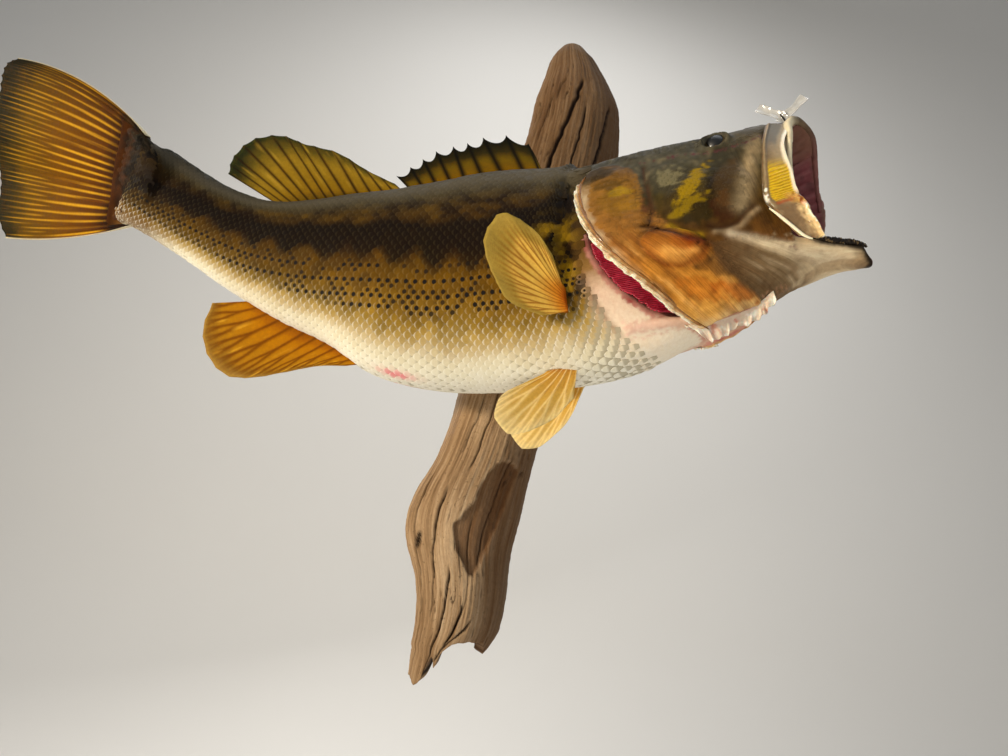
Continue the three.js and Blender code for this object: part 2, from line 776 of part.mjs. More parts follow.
const jaw = lowerJaw();
addSolid("lower_jaw", jaw, COLOURS.jaw);
const tongue = ball([TONGUE.a, 0, TONGUE.h], 1, [TONGUE.long, TONGUE.wide, TONGUE.tall]);
addSolid("tongue", cutBy(tongue, [jaw]), COLOURS.flesh);

[1, -1].forEach((side) => {
  const word = side > 0 ? "right" : "left";
  const reach = side > 0 ? 0 : FAR_REACH;
  const cover = cutBy(plate(GILL_COVER, side, 0, 5, 14, (u) => 1 + 1.4 * u), [trunk]);
  const maxilla = cutBy(plate(MAXILLA, side, reach, 3, 9, () => 2), [lip, skull, jaw]);
  const cheek = plate(CHEEK, side, reach, 8, 5, () => 3);
  const seated = cutBy(cheek, [cover, jaw, skull, lip, maxilla, eyes[side > 0 ? 0 : 1]]);
  addSolid(`gill_cover_${word}`, cutBy(cover, [jaw]), COLOURS.plate);
  addSolid(`maxilla_${word}`, maxilla, COLOURS.bone);
  addSolid(`cheek_${word}`, seated, COLOURS.head);
  addSolid(`gills_${word}`, cutBy(gillArches(side), [trunk, cover, seated]), COLOURS.gill);
  addSolid(`pectoral_fin_${word}`, cutBy(pairedFin(PECTORAL, side, 1.2), [trunk, log]), COLOURS.fin);
  addSolid(`pelvic_fin_${word}`, cutBy(pairedFin(PELVIC, side, 0.8), [trunk, log]), COLOURS.fin);
});

addSolid("tail_fin", cutBy(tailFin(), [tail]), COLOURS.fin);
addSolid("dorsal_fin_spiny", cutBy(rayFin(SPINY_FIN, 1, 0.35, 0.14), [trunk]), COLOURS.darkFin);
addSolid("dorsal_fin_soft", cutBy(rayFin(SOFT_FIN, 1, 0.35, 0.03), [trunk, tail]), COLOURS.darkFin);
addSolid("anal_fin", cutBy(rayFin(ANAL_FIN, -1, 0.35, 0.03), [trunk, tail]), COLOURS.fin);
addSolid("snout_tape", cutBy(snoutTape(), [skull, lip, ...eyes]), COLOURS.tape, 0.3);

export default group;
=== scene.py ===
import math
import bmesh
import bpy
import numpy as np
from mathutils import Matrix, Vector
from mathutils.bvhtree import BVHTree
from mathutils.kdtree import KDTree


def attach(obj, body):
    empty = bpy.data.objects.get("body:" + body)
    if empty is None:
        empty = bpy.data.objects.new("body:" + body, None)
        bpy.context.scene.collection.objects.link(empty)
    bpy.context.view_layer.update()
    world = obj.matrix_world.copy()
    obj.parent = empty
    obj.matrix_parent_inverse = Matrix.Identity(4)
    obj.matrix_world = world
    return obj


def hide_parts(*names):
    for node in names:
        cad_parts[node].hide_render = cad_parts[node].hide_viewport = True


# A mounted largemouth bass on driftwood: skin, scales, fins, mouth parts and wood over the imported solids.
# Tables are in millimetres, as in the part; meshes are made in metres.

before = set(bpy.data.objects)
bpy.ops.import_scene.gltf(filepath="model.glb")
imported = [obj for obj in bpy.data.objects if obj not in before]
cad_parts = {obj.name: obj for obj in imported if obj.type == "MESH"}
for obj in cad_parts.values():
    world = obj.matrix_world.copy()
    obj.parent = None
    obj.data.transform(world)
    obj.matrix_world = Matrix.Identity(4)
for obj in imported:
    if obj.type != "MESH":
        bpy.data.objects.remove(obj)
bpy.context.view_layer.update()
mm = 0.001
sides = ((1, "right"), (-1, "left"))
pi = math.pi


# Curves, noise and colours.

def crossed(p0, p1, p2, p3, t):
    bend = (2 * p0 - 5 * p1 + 4 * p2 - p3) * t ** 2 + (3 * p1 - p0 - 3 * p2 + p3) * t ** 3
    return 0.5 * (2 * p1 + (p2 - p0) * t + bend)


def withEnds(values):
    return np.concatenate([[2 * values[0] - values[1]], values, [2 * values[-1] - values[-2]]])


def spline(values, at):
    values, at = np.asarray(values, float), np.asarray(at, float)
    whole = np.clip(np.floor(at), 0, len(values) - 2).astype(int)
    t = (at - whole).reshape(at.shape + (1,) * (values.ndim - 1))
    ends = withEnds(values)
    return crossed(*(ends[whole + k] for k in range(4)), t)


def along(path, share):  # a point a share of the way along a path
    return spline(path, share * (len(path) - 1))


def lookup(keys, values, at):
    keys = np.asarray(keys, float)
    at = np.clip(at, keys[0], keys[-1])
    index = np.clip(np.searchsorted(keys, at, side="left") - 1, 0, len(keys) - 2)
    return spline(values, index + (at - keys[index]) / (keys[index + 1] - keys[index]))


def netPoint(rows, u, v):
    rows = np.asarray(rows, float)
    u, v = np.broadcast_arrays(np.asarray(u, float), np.asarray(v, float))
    lines = np.stack([along(row, u.ravel()) for row in rows])
    at = v.ravel() * (len(rows) - 1)
    whole = np.clip(np.floor(at), 0, len(rows) - 2).astype(int)
    ends = withEnds(lines)
    found = crossed(*(ends[whole + k, np.arange(len(at))] for k in range(4)), (at - whole)[:, None])
    return found.reshape(u.shape + (3,))


def unit(vectors):
    return vectors / np.maximum(np.linalg.norm(vectors, axis=-1, keepdims=True), 1e-12)


def heading(curve, at, step):
    return unit(curve(np.minimum(at + step, 1)) - curve(np.maximum(at - step, 0)))


def smooth(low, high, value):
    t = np.clip((value - low) / (high - low), 0, 1)
    return t * t * (3 - 2 * t)


def bell(away, wide):
    return np.exp(-(away / wide) ** 2)


def sheet(x, y=0):
    return np.stack([x, y + 0 * x, 0 * x], axis=1)


def valueNoise(points, size, seed=0):
    spot = np.asarray(points, float) / size + seed * 13.7
    cell = np.floor(spot).astype(np.int64)
    part = spot - cell
    part = part * part * (3 - 2 * part)
    total = np.zeros(len(spot))
    for corner in range(8):
        step = np.array([corner & 1, corner >> 1 & 1, corner >> 2 & 1])
        key = (cell + step) * np.array([73856093, 19349663, 83492791])
        mixed = (key[:, 0] ^ key[:, 1] ^ key[:, 2]) & 0xFFFFFFF
        mixed = ((mixed ^ (mixed >> 13)) * 1274126177) & 0xFFFFFFF
        share = np.prod(np.where(step == 1, part, 1 - part), axis=1)
        total += share * ((mixed ^ (mixed >> 15)) & 0xFFFF) / 65535
    return total


def cloudNoise(points, size, octaves=3, seed=0):
    total = np.zeros(len(points))
    weight = 0.0
    for octave in range(octaves):
        share = 0.5 ** octave
        total += share * valueNoise(points, size * share, seed + octave)
        weight += share
    return total / weight


def ripple(x, y, seed):  # noise about zero over a flattened surface
    return valueNoise(sheet(x, y), 1.0, seed) - 0.5


def colour(red, green, blue):
    return np.array([(part / 255) ** 2.2 for part in (red, green, blue)])


def colourAlong(stops, at):
    keys = list(stops)
    tones = np.array([colour(*stops[key]) for key in keys])
    return np.stack([np.interp(at, keys, tones[:, k]) for k in range(3)], axis=-1)


def blend(first, second, share):
    first, second = (colour(*tone) if isinstance(tone, tuple) else tone for tone in (first, second))
    return first + (second - first) * np.asarray(share)[:, None]


def painted(tones, *layers):
    for tone, share in layers:
        tones = blend(tones, tone, share)
    return tones


def shaded(tones, share):
    return tones * (1 + share)[:, None]


# The fish's own coordinates.

body = {
    "x": [-273, -239, -210, -179, -145, -109, -78, -43, -10, 22, 53, 75],
    "y": [-92, -87, -84, -82, -83, -85, -88, -93, -100, -110, -124, -138],
    "z": [-3, -15, -24, -32, -36, -36, -36, -34, -29, -24, -18, -10],
    "roll": [14, 10, 7, 5, 3, 1, 0, 0, 0, 0, 2, 2],
    "up": [32, 30, 31, 38, 50, 62, 72, 81, 85, 84, 81, 74],
    "down": [31, 29, 31, 36, 45, 56, 69, 74, 75, 74, 70, 64],
    "half": [8, 12, 15, 20, 26, 33, 38, 41, 43, 43, 41, 39],
    "shoulder": 11.0,
    "leanStart": 8.5,
    "edgeHeights": [-65, -52, -30, 0, 40, 76],
    "edgeAhead": [30, 4, -14, -24, -20, -12],
    "sideShare": 0.93,  # of the grid's length
    "closeShare": 0.07,  # the rest, which closes the body behind the gills
}
head = {"origin": (75, -138, -10), "pitch": 20, "yaw": 31, "roll": 2}


def frameAlong(forward, roll):
    rise = unit(np.array([0.0, 0.0, 1.0]) - forward * forward[..., 2:3])
    side = np.cross(forward, rise)
    turn = np.radians(np.asarray(roll, float))[..., None]
    up = rise * np.cos(turn) + side * np.sin(turn)
    return forward, np.cross(forward, up), up


def place(origin, axes, *offsets):
    a, l, h = (np.asarray(value, float)[..., None] for value in offsets)
    return origin + axes[0] * a + axes[1] * l + axes[2] * h


def forwardFrom(pitch, yaw):
    p, y = math.radians(pitch), math.radians(yaw)
    return np.array([math.cos(p) * math.cos(y), -math.cos(p) * math.sin(y), math.sin(p)])


headAxes = frameAlong(forwardFrom(head["pitch"], head["yaw"]), head["roll"])
headOrigin = np.array(head["origin"], float)


def headPoint(a, l, h):
    return place(headOrigin, headAxes, a, l, h)


def headCoordinates(points):
    return tuple((points - headOrigin) @ axis for axis in headAxes)


def bodyFrame(s):
    s = np.asarray(s, float)
    centre = lambda at: np.stack([spline(body[key], at) for key in "xyz"], axis=-1)
    ahead = centre(np.minimum(s + 0.02, body["shoulder"]))
    forward = unit(ahead - centre(np.maximum(s - 0.02, 0)))
    return centre(s), frameAlong(forward, spline(body["roll"], s))


def shoulderAhead(h):
    return lookup(body["edgeHeights"], body["edgeAhead"], h)


def bodyPoint(s, angle, inset=0.0):
    s, angle = np.broadcast_arrays(np.asarray(s, float), np.asarray(angle, float))
    origin, axes = bodyFrame(s)
    up, down, half = (spline(body[key], s) - inset for key in ("up", "down", "half"))
    fullness = np.where(np.cos(angle) > 0, 1 - 0.015 * s, 0.9)
    l = half * np.sign(np.sin(angle)) * np.abs(np.sin(angle)) ** fullness
    h = np.where(np.cos(angle) > 0, up, down) * np.cos(angle)
    lean = np.maximum(0, (s - body["leanStart"]) / (body["shoulder"] - body["leanStart"]))
    return place(origin, axes, shoulderAhead(h) * lean, l, h)


# Mesh forms: a flat grid, a slab or a wrapped tube is bent into place by a function of its own u, v and w.

def freshVerts(grown):
    return [item for item in grown["geom"] if isinstance(item, bmesh.types.BMVert)]


def gridForm(across, down, slab=False):
    form = bmesh.new()
    bmesh.ops.create_grid(form, x_segments=across, y_segments=down, size=0.5)
    if slab:
        grown = bmesh.ops.extrude_face_region(form, geom=form.faces[:])
        bmesh.ops.translate(form, verts=freshVerts(grown), vec=(0, 0, 1))
    return form


def bentForm(form, shape, close=True):
    flat = np.array([vert.co[:] for vert in form.verts])
    u, v, w = flat[:, 0] + 0.5, flat[:, 1] + 0.5, flat[:, 2]
    layers = [form.verts.layers.float.new(name) for name in "uvw"]
    for vert, spot, *values in zip(form.verts, shape(u, v, w) * mm, u, v, w):
        vert.co = spot
        for layer, value in zip(layers, values):
            vert[layer] = value
    if close:
        bmesh.ops.remove_doubles(form, verts=form.verts, dist=2e-6)
        bmesh.ops.dissolve_degenerate(form, edges=form.edges, dist=1e-7)
        holes = [edge for edge in form.edges if edge.is_boundary]
        if holes:
            bmesh.ops.holes_fill(form, edges=holes, sides=0)
    bmesh.ops.recalc_face_normals(form, faces=form.faces)
    return form


def joined(forms):
    whole = bmesh.new()
    for form in forms:
        keep = bpy.data.meshes.new("joining")
        form.to_mesh(keep)
        whole.from_mesh(keep)
        bpy.data.meshes.remove(keep)
        form.free()
    return whole


def objectFrom(name, form, material=None):
    mesh = bpy.data.meshes.new(name)
    form.to_mesh(mesh)
    form.free()
    return objectOf(name, mesh, material)


def objectOf(name, mesh, material=None):
    piece = bpy.data.objects.new(name, mesh)
    bpy.context.scene.collection.objects.link(piece)
    mesh.shade_smooth()
    if material:
        mesh.materials.append(material)
    return piece


def settledMesh(piece, name):
    graph = bpy.context.evaluated_depsgraph_get()
    mesh = bpy.data.meshes.new_from_object(piece.evaluated_get(graph))
    mesh.name = name
    return mesh


def meshPoints(mesh, what="co"):
    values = np.empty(len(mesh.vertices) * 3, np.float32)
    mesh.vertices.foreach_get(what, values)
    return values.reshape(-1, 3).astype(float)


def setPoints(mesh, points):
    mesh.vertices.foreach_set("co", points.astype(np.float32).ravel())
    mesh.update()


def readValues(mesh, *names):
    found = np.empty((len(names), len(mesh.vertices)), np.float32)
    for name, row in zip(names, found):
        mesh.attributes[name].data.foreach_get("value", row)
    return found.astype(float)


def writeValues(mesh, **values):
    for name, numbers in values.items():
        layer = mesh.attributes.get(name) or mesh.attributes.new(name, "FLOAT", "POINT")
        layer.data.foreach_set("value", np.asarray(numbers, np.float32))


def writeTint(mesh, tones):
    layer = mesh.attributes.new("tint", "FLOAT_COLOR", "POINT")
    tones = np.broadcast_to(tones, (len(mesh.vertices), 3))
    full = np.concatenate([np.clip(tones, 0, 1), np.ones((len(tones), 1))], axis=1)
    layer.data.foreach_set("color", full.astype(np.float32).ravel())


def trianglesOf(piece):
    return sum(len(face.vertices) - 2 for face in piece.data.polygons)


def finished(piece, slot, *replaced):
    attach(piece, "root")
    if replaced:
        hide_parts(*replaced)
    print("made", piece.name, trianglesOf(piece), "triangles")
    return piece


def madePiece(name, form, material, tonesOf, slot, *replaced):  # tonesOf paints from u, v and the points
    piece = objectFrom(name, form, material)
    u, v = readValues(piece.data, "u", "v")
    writeTint(piece.data, tonesOf(u, v, meshPoints(piece.data) / mm))
    return finished(piece, slot, *replaced)


# Shader maths: a wire is one socket, and an expression on wires adds its nodes.

class Wire:
    def __init__(self, bench, socket):
        self.bench = bench
        self.socket = socket

    def math(self, operation, first, second=0.0):
        return self.bench.node("ShaderNodeMath", {"operation": operation}, {0: first, 1: second})

    def __add__(self, other):
        return self.math("ADD", self, other)

    def __radd__(self, other):
        return self.math("ADD", other, self)

    def __sub__(self, other):
        return self.math("SUBTRACT", self, other)

    def __rsub__(self, other):
        return self.math("SUBTRACT", other, self)

    def __mul__(self, other):
        return self.math("MULTIPLY", self, other)

    def __rmul__(self, other):
        return self.math("MULTIPLY", other, self)

    def sine(self):
        return self.math("SINE", self)


class Bench:
    def __init__(self, name):
        self.material = bpy.data.materials.new(name)
        self.material.use_nodes = True
        self.tree = self.material.node_tree
        self.tree.nodes.clear()

    def node(self, kind, settings=None, inputs=None, output=0):
        made = self.tree.nodes.new(kind)
        for key, value in (settings or {}).items():
            setattr(made, key, value)
        for key, value in (inputs or {}).items():
            self.feed(made.inputs[key], value)
        return Wire(self, made.outputs[output])

    def feed(self, socket, value):
        if isinstance(value, Wire):
            self.tree.links.new(value.socket, socket)
        elif isinstance(value, (tuple, np.ndarray)) and len(value) == 3 and socket.type == "RGBA":
            socket.default_value = (*value, 1.0)
        else:
            socket.default_value = value

    def tint(self):
        return self.node("ShaderNodeAttribute", {"attribute_name": "tint"}, output="Color")

    def value(self, name):
        return self.node("ShaderNodeAttribute", {"attribute_name": name}, output="Fac")

    def spot(self):
        found = self.node("ShaderNodeTexCoord", output="Object")
        return self.stretched(found, (1, 1, 1))

    def stretched(self, where, scale):
        return self.node("ShaderNodeMapping", inputs={"Vector": where, "Scale": scale})

    def flat(self, x, y):
        return self.node("ShaderNodeCombineXYZ", inputs={0: x, 1: y, 2: 0.0})

    def noise(self, scale, detail=3.0, roughness=0.55, where=None):
        values = {"Scale": scale, "Detail": detail, "Roughness": roughness, "Vector": where or self.spot()}
        return self.node("ShaderNodeTexNoise", inputs=values)

    def cells(self, scale):
        return self.node("ShaderNodeTexVoronoi", inputs={"Scale": scale, "Vector": self.spot()})

    def between(self, value, low, high, first=0.0, second=1.0):
        values = {"Value": value, 1: low, 2: high, 3: first, 4: second}
        return self.node("ShaderNodeMapRange", {"interpolation_type": "SMOOTHSTEP"}, values)

    def mix(self, share, first, second, how="MIX"):
        settings = {"data_type": "RGBA", "blend_type": how}
        return self.node("ShaderNodeMix", settings, {0: share, 6: first, 7: second}, output=2)

    def flecked(self, share, tone, fleck, dark, light):
        return self.mix(share, tone, self.mix(fleck, dark, light), "OVERLAY")

    def bump(self, height, distance, strength=1.0):
        values = {"Height": height, "Distance": distance, "Strength": strength}
        return self.node("ShaderNodeBump", inputs=values)

    def surface(self, sockets):
        shine = self.node("ShaderNodeBsdfPrincipled", inputs=sockets)
        out = self.tree.nodes.new("ShaderNodeOutputMaterial")
        self.feed(out.inputs["Surface"], shine)
        return self.material


def scattering(weight, green=0.4, blue=0.25, reach=0.002):
    return {"Subsurface Weight": weight, "Subsurface Radius": (1.0, green, blue), "Subsurface Scale": reach}


# The skin: body, skull, cheeks, gill covers, jaw and upper lip, joined and remeshed as one.

skull = {
    "a": [-10, 20, 46, 64, 80, 97, 107],
    "top": [76, 69, 63, 60, 58, 55, 52],
    "margin": [57, 47, 40, 36, 36, 39, 43],
    "half": [29, 33, 30, 27, 24, 19, 12],
    "roof": [52, 45, 42, 41, 42, 44, 46],
    "crownShare": 0.62,
}
cheekRows = [
    [[21, 34, 44], [46, 31, 38], [64, 28, 33], [79, 25, 34], [91, 22, 36]],
    [[20, 40, 14], [46, 38, 8], [64, 34, 4], [79, 30, 2], [91, 27, 2]],
    [[33, 39, -13], [46, 37, -21], [60, 34, -23], [75, 31, -28], [88, 27, -33]],
]
coverRows = [
    [[-12, 37, 53], [-4, 37, 53], [4, 34, 52]],
    [[-20, 43, 37], [-3, 42, 39], [15, 37, 38]],
    [[-20, 49, 15], [0, 46, 14], [18, 40, 12]],
    [[-15, 50, -6], [9, 47, -9], [31, 40, -15]],
    [[-5, 47, -26], [20, 45, -24], [45, 38, -26]],
    [[6, 42, -42], [30, 38, -40], [52, 31, -37]],
    [[16, 29, -56], [38, 26, -54], [58, 18, -51]],
    [[26, 13, -66], [44, 13, -63], [62, 5, -59]],
]
liningRows = [
    [[-2, 34, 53], [20, 31, 48], [44, 27, 42], [64, 24, 38], [82, 21, 38]],
    [[6, 37, 34], [22, 36, 30], [46, 31, 24], [64, 28, 20], [84, 23, 20]],
    [[10, 39, 8], [24, 37, 4], [46, 34, 0], [64, 31, -4], [84, 25, -4]],
    [[22, 38, -12], [36, 36, -18], [54, 33, -23], [70, 29, -27], [86, 24, -31]],
    [[40, 35, -28], [50, 33, -33], [62, 29, -36], [76, 26, -38], [90, 20, -41]],
]
jawRows = [
    [[47, 37, -28], [65, 33, -29], [83, 28, -34], [101, 20, -40], [113, 11, -42], [121, 6, -43]],
    [[54, 31, -37], [67, 29, -38], [84, 25, -39], [102, 17, -43], [114, 10, -46], [121, 6, -48]],
    [[60, 18, -50], [71, 16, -48], [87, 14, -45], [103, 9, -46], [114, 7, -50], [121, 5, -53]],
    [[64, 0, -57], [73, 0, -52], [89, 0, -46.5], [104, 0, -47], [114, 0, -52], [121, 0, -55]],
]
maxillaRows = [
    [[94, 21, 46], [100, 18, 46], [106, 14, 43]],
    [[88, 28, 28], [93, 27, 26], [99, 25, 24]],
    [[82, 31.5, 5], [90, 31, 4], [98, 29, 3]],
    [[79.5, 31.8, -10], [88, 31, -10], [97, 28.5, -11]],
    [[83, 31.2, -21], [91.5, 29.8, -20], [100, 26.8, -21]],
    [[91, 27, -36], [96.5, 24.5, -38.5], [102, 21.5, -39.5]],
]
lip = {
    "path": [[97, 24, 2], [100, 22, 18], [104, 17.5, 34], [107, 11, 48], [113, 0, 55]],
    "radius": 2.5,
    "farReach": 12,
}
throat = {
    "a": [-14, 8, 26, 44, 60, 76],
    "h": [-54, -57, -59, -58, -54, -47],
    "half": [26, 24, 18, 13, 9, 6],
    "tall": [8, 6, 4.5, 4, 3.5, 3],
}
skin = {
    "coatDepth": 0.7,
    "voxel": 1.25,
    "smoothing": 6,
    "mostFaces": 196000,
    "thinFacing": -0.05,
    "cheekThick": 4.2,
    "coverThick": 2.6,
    "jawThick": 3.8,
    "rootThick": 7.6,
    "roughness": 0.56,
}
eye = {"a": 64, "l": 17.5, "h": 45, "radius": 8.93}


def flankAt(v):
    return body["shoulder"] * np.minimum(v / body["sideShare"], 1)


def bodyShape(u, v, w):
    inside = np.clip((v - body["sideShare"]) / body["closeShare"], 0, 1)
    tailEnd = np.clip(1 - v / 0.012, 0, 1)
    rim = bodyPoint(flankAt(v), (u - 0.5) * 2 * pi, skin["coatDepth"])
    rounded = rim + (headPoint(-26.0, 0.0, 5.0) - rim) * inside[:, None] ** 1.4
    rounded += headAxes[0] * (5 * np.sin(pi * inside ** 0.6))[:, None]
    return rounded + (bodyFrame(0.0)[0] - rounded) * tailEnd[:, None]


def skullShape(u, v, w):
    half, margin, top, roof, a = (along(skull[key], v) for key in ("half", "margin", "top", "roof", "a"))
    split = skull["crownShare"]
    crown = u < split
    turn = np.where(crown, u / split, (u - split) / (1 - split)) * pi
    l = np.where(crown, half * np.cos(turn), -half * np.cos(turn))
    rise = np.abs(np.sin(turn)) ** 0.8
    h = margin + np.where(crown, (top - margin) * rise, (roof - margin) * np.sin(turn))
    back = 1 - np.minimum(v * 10 / 3, 1)
    return headPoint(a + back * (shoulderAhead(h) - 6), l, h)


def plateMiddle(rows, side, reach, u, v):
    point = netPoint(rows, u, v)
    stretch = np.minimum(reach * np.maximum(0, (point[..., 0] - 70) / 35), reach)
    return headPoint(point[..., 0] + stretch, side * point[..., 1], point[..., 2])


def plateOf(rows, side, reach=0):
    return lambda u, v: plateMiddle(rows, side, reach, u, v)


def jawMiddle(u, v):
    point = netPoint(jawRows, u, np.where(v < 0.5, v * 2, 2 - v * 2))
    return headPoint(point[..., 0], np.where(v < 0.5, 1, -1) * point[..., 1], point[..., 2])


def raised(surface, u, v, outward, rise, start=None):  # the surface moved out along its own slope
    step = 0.008
    alongU = surface(u + step, v) - surface(u - step, v)
    alongV = surface(u, v + step) - surface(u, v - step)
    normal = unit(np.cross(alongU, alongV))
    normal = normal * np.where(np.sum(normal * outward, axis=-1, keepdims=True) < 0, -1, 1)
    return (surface(u, v) if start is None else start) + normal * rise[:, None]


def plateShape(surface, side, thick, spanU=(0, 1), spanV=(0, 1)):
    def shape(u, v, w):
        wideU = spanU[0] + (spanU[1] - spanU[0]) * u
        wideV = spanV[0] + (spanV[1] - spanV[0]) * v
        return raised(surface, wideU, wideV, headAxes[1] * side, -thick * w)

    return shape


def jawShape(u, v, w):
    below = -headAxes[2] + headAxes[1] * np.where(v < 0.5, 1, -1)[:, None] * 1.5
    return raised(jawMiddle, -0.13 + 1.13 * u, v, below, -skin["jawThick"] * w)


def lipPoint(share):
    near = lip["path"]
    far = [[a + lip["farReach"] * 0.9, -l, h] for a, l, h in reversed(near[:-1])]
    return along(near + far, share)


def lipShape(u, v, w):
    ahead = heading(lipPoint, v, 0.006)
    out = unit(np.array([1.0, 0.0, 0.0]) - ahead * ahead[:, :1])
    radius = (lip["radius"] * (0.55 + 0.45 * np.sin(pi * v)))[:, None]
    turn = (2 * pi * u)[:, None]
    point = lipPoint(v) + out * radius * np.cos(turn) + np.cross(ahead, out) * radius * 1.3 * np.sin(turn)
    return headPoint(*point.T)


def throatShape(u, v, w):
    a, h, half, tall = (along(throat[key], v) for key in ("a", "h", "half", "tall"))
    return headPoint(a, half * np.cos(2 * pi * u), h + tall * np.sin(2 * pi * u))


def tailRootShape(u, v, w):
    surface, at = tailSurface(), -0.10 + 0.32 * v
    rounded = np.sin(pi * np.clip(0.04 + 0.92 * u, 0, 1)) ** 0.4
    thick = (skin["rootThick"] * smooth(1.0, 0.15, v) + 0.9) * rounded
    return raised(surface, u, at, toViewer, thick * (1 - 2 * w), surface(0.02 + 0.96 * u, at))


toViewer = np.array([0.0, -1.0, 0.0])
regions = {name: index for index, name in enumerate((
    "body", "shoulder", "crown", "palate", "cheek", "cheekInside", "cover", "coverInside", "jaw", "jawInside",
    "lip", "throat", "lining", "tailRoot"))}


def within(region, *names):
    return np.isin(region, [regions[name] for name in names])


def fleshParts():  # outer region, inner region, form, shape and where the inner one is
    inner = lambda u, v, w: w > 0.5
    never = lambda u, v, w: w > 2
    parts = [("body", "shoulder", gridForm(96, 260), bodyShape, lambda u, v, w: v > body["sideShare"]),
             ("crown", "palate", gridForm(60, 90), skullShape, lambda u, v, w: u > skull["crownShare"])]
    for side, reach in ((1, 0), (-1, lip["farReach"])):
        thick = skin["cheekThick"]
        cheek = plateShape(plateOf(cheekRows, side, reach), side, thick, (-0.08, 1.0), (-0.12, 1.1))
        cover = plateShape(plateOf(coverRows, side), side, skin["coverThick"])
        lining = plateShape(plateOf(liningRows, side, reach), side, thick)
        parts += [("cheek", "cheekInside", gridForm(40, 40, True), cheek, inner),
                  ("cover", "coverInside", gridForm(36, 80, True), cover, inner),
                  ("lining", "cheekInside", gridForm(40, 40, True), lining, inner)]
    return parts + [("jaw", "jawInside", gridForm(50, 60, True), jawShape, inner),
                    ("lip", "lip", gridForm(16, 70), lipShape, never),
                    ("throat", "throat", gridForm(24, 30), throatShape, never),
                    ("tailRoot", "tailRoot", gridForm(60, 24, True), tailRootShape, never)]


def regionSample(form, outer, inner, isInner):
    keep = bpy.data.meshes.new("sample")
    form.to_mesh(keep)
    u, v, w = readValues(keep, "u", "v", "w")
    region = np.where(isInner(u, v, w), regions[inner], regions[outer])
    u = np.abs(u - 0.5) * 2 if outer == "body" else u
    points = meshPoints(keep)
    bpy.data.meshes.remove(keep)
    return points, np.stack([region, u, v], axis=1)


def regionOf(points, spots, marks):
    tree = KDTree(len(spots))
    for index, spot in enumerate(spots):
        tree.insert(spot, index)
    tree.balance()
    found = np.empty((len(points), 3))
    for index, point in enumerate(points):
        near = tree.find_n(point, 4)
        kinds = marks[[item[1] for item in near]]
        same = kinds[:, 0] == kinds[0, 0]
        weights = 1 / (np.array([item[2] for item in near])[same] ** 2 + 1e-8)
        found[index] = (kinds[same] * weights[:, None]).sum(axis=0) / weights.sum()
    return found


def spread(values, edges, rounds, share=0.5):
    count = np.bincount(edges.ravel(), minlength=len(values)).astype(float)
    for _ in range(rounds):
        near = np.stack([
            np.bincount(edges[:, 0], values[edges[:, 1], k], len(values))
            + np.bincount(edges[:, 1], values[edges[:, 0], k], len(values))
            for k in range(values.shape[1])
        ], axis=1) / count[:, None]
        values = values + (near - values) * share
    return values


def edgesOf(mesh):
    edges = np.empty(len(mesh.edges) * 2, np.int32)
    mesh.edges.foreach_get("vertices", edges)
    return edges.reshape(-1, 2)


# Forms and marks of the head stand at a and h, with a length, a width and a tilt.

def hump(a, h, mark):
    turn = math.radians(mark[4])
    x, y = a - mark[0], h - mark[1]
    length = (x * math.cos(turn) + y * math.sin(turn)) / mark[2]
    width = (-x * math.sin(turn) + y * math.cos(turn)) / mark[3]
    return np.sqrt(length ** 2 + width ** 2)


headForms = {
    "bean": (28, -24.5, 19, 11, -29), "beanHighlight": (24, -31, 11, 4.5, -27), "beanDeep": (36, -25, 8, 6, -27),
    "cheekPad": (52, 4, 26, 20, 10), "eyeOpening": (64, 45.2, 6.0, 3.9, 4),
    "jawPit": (64.7, -37.5, 2.2, 1.6, 0), "nostrils": [(86, 55, 2.6, 2.0, 0), (92, 54, 1.8, 1.5, 0)],
}
headStrokes = [  # path, width, tone, strength and rise
    ([[86, 35], [78, 17.6], [71.5, -0.5], [67, -10]], 4.4, (148, 130, 100), 0.85, 0),
    ([[20.8, 40], [20.7, 19], [20.5, 4], [17, -6]], 1.7, (66, 42, 28), 0.75, -1.3),
    ([[12.8, -6.6], [18, -7.5], [25.5, -16], [35, -23.5], [44, -25]], 1.5, (48, 22, 8), 0.9, -1.2),
    ([[13, -25], [19.7, -33.9], [27.8, -37], [37.2, -35.5], [44.6, -28.8]], 1.3, (112, 54, 14), 0.6, -0.9),
    # painted highlight on the lower part of the gill-cover lobe
    ([[22, -27], [30, -31], [38, -31]], 1.6, (236, 176, 92), 0.5, 0),
    ([[36, -24], [41, -26]], 2.6, (96, 36, 12), 0.55, 0),
    ([[27, -10], [34, -18], [42, -21.5]], 1.9, (176, 138, 18), 0.8, 0.8),
    ([[47.6, -16.4], [54, -19.5], [62.5, -18.7], [68.2, -13.8], [73, -11]], 1.6, (50, 30, 16), 0.85, -1.2),
    ([[50, -21.5], [56, -23], [64, -22], [70, -17], [75, -14]], 1.5, (186, 164, 130), 0.4, 0.7),
    ([[57, -25], [71, -34], [86, -41.5], [101, -45.5], [113, -48]], 2.2, (214, 200, 174), 0.55, 0.5),
]
jawCourse = {"a": [45, 57, 71, 86, 101, 121], "h": [-13, -22.5, -34, -42, -46, -49]}


def strokeShare(a, h, path, wide):
    path = np.array(path, float)
    nearest = np.full(len(a), 1e9)
    for start, end in zip(path[:-1], path[1:]):
        step = end - start
        t = np.clip(((a - start[0]) * step[0] + (h - start[1]) * step[1]) / (step @ step), 0, 1)
        nearest = np.minimum(nearest, (a - start[0] - t * step[0]) ** 2 + (h - start[1] - t * step[1]) ** 2)
    return np.exp(-nearest / wide ** 2)


def belowCourse(a, h):
    return h - np.interp(a, jawCourse["a"], jawCourse["h"])


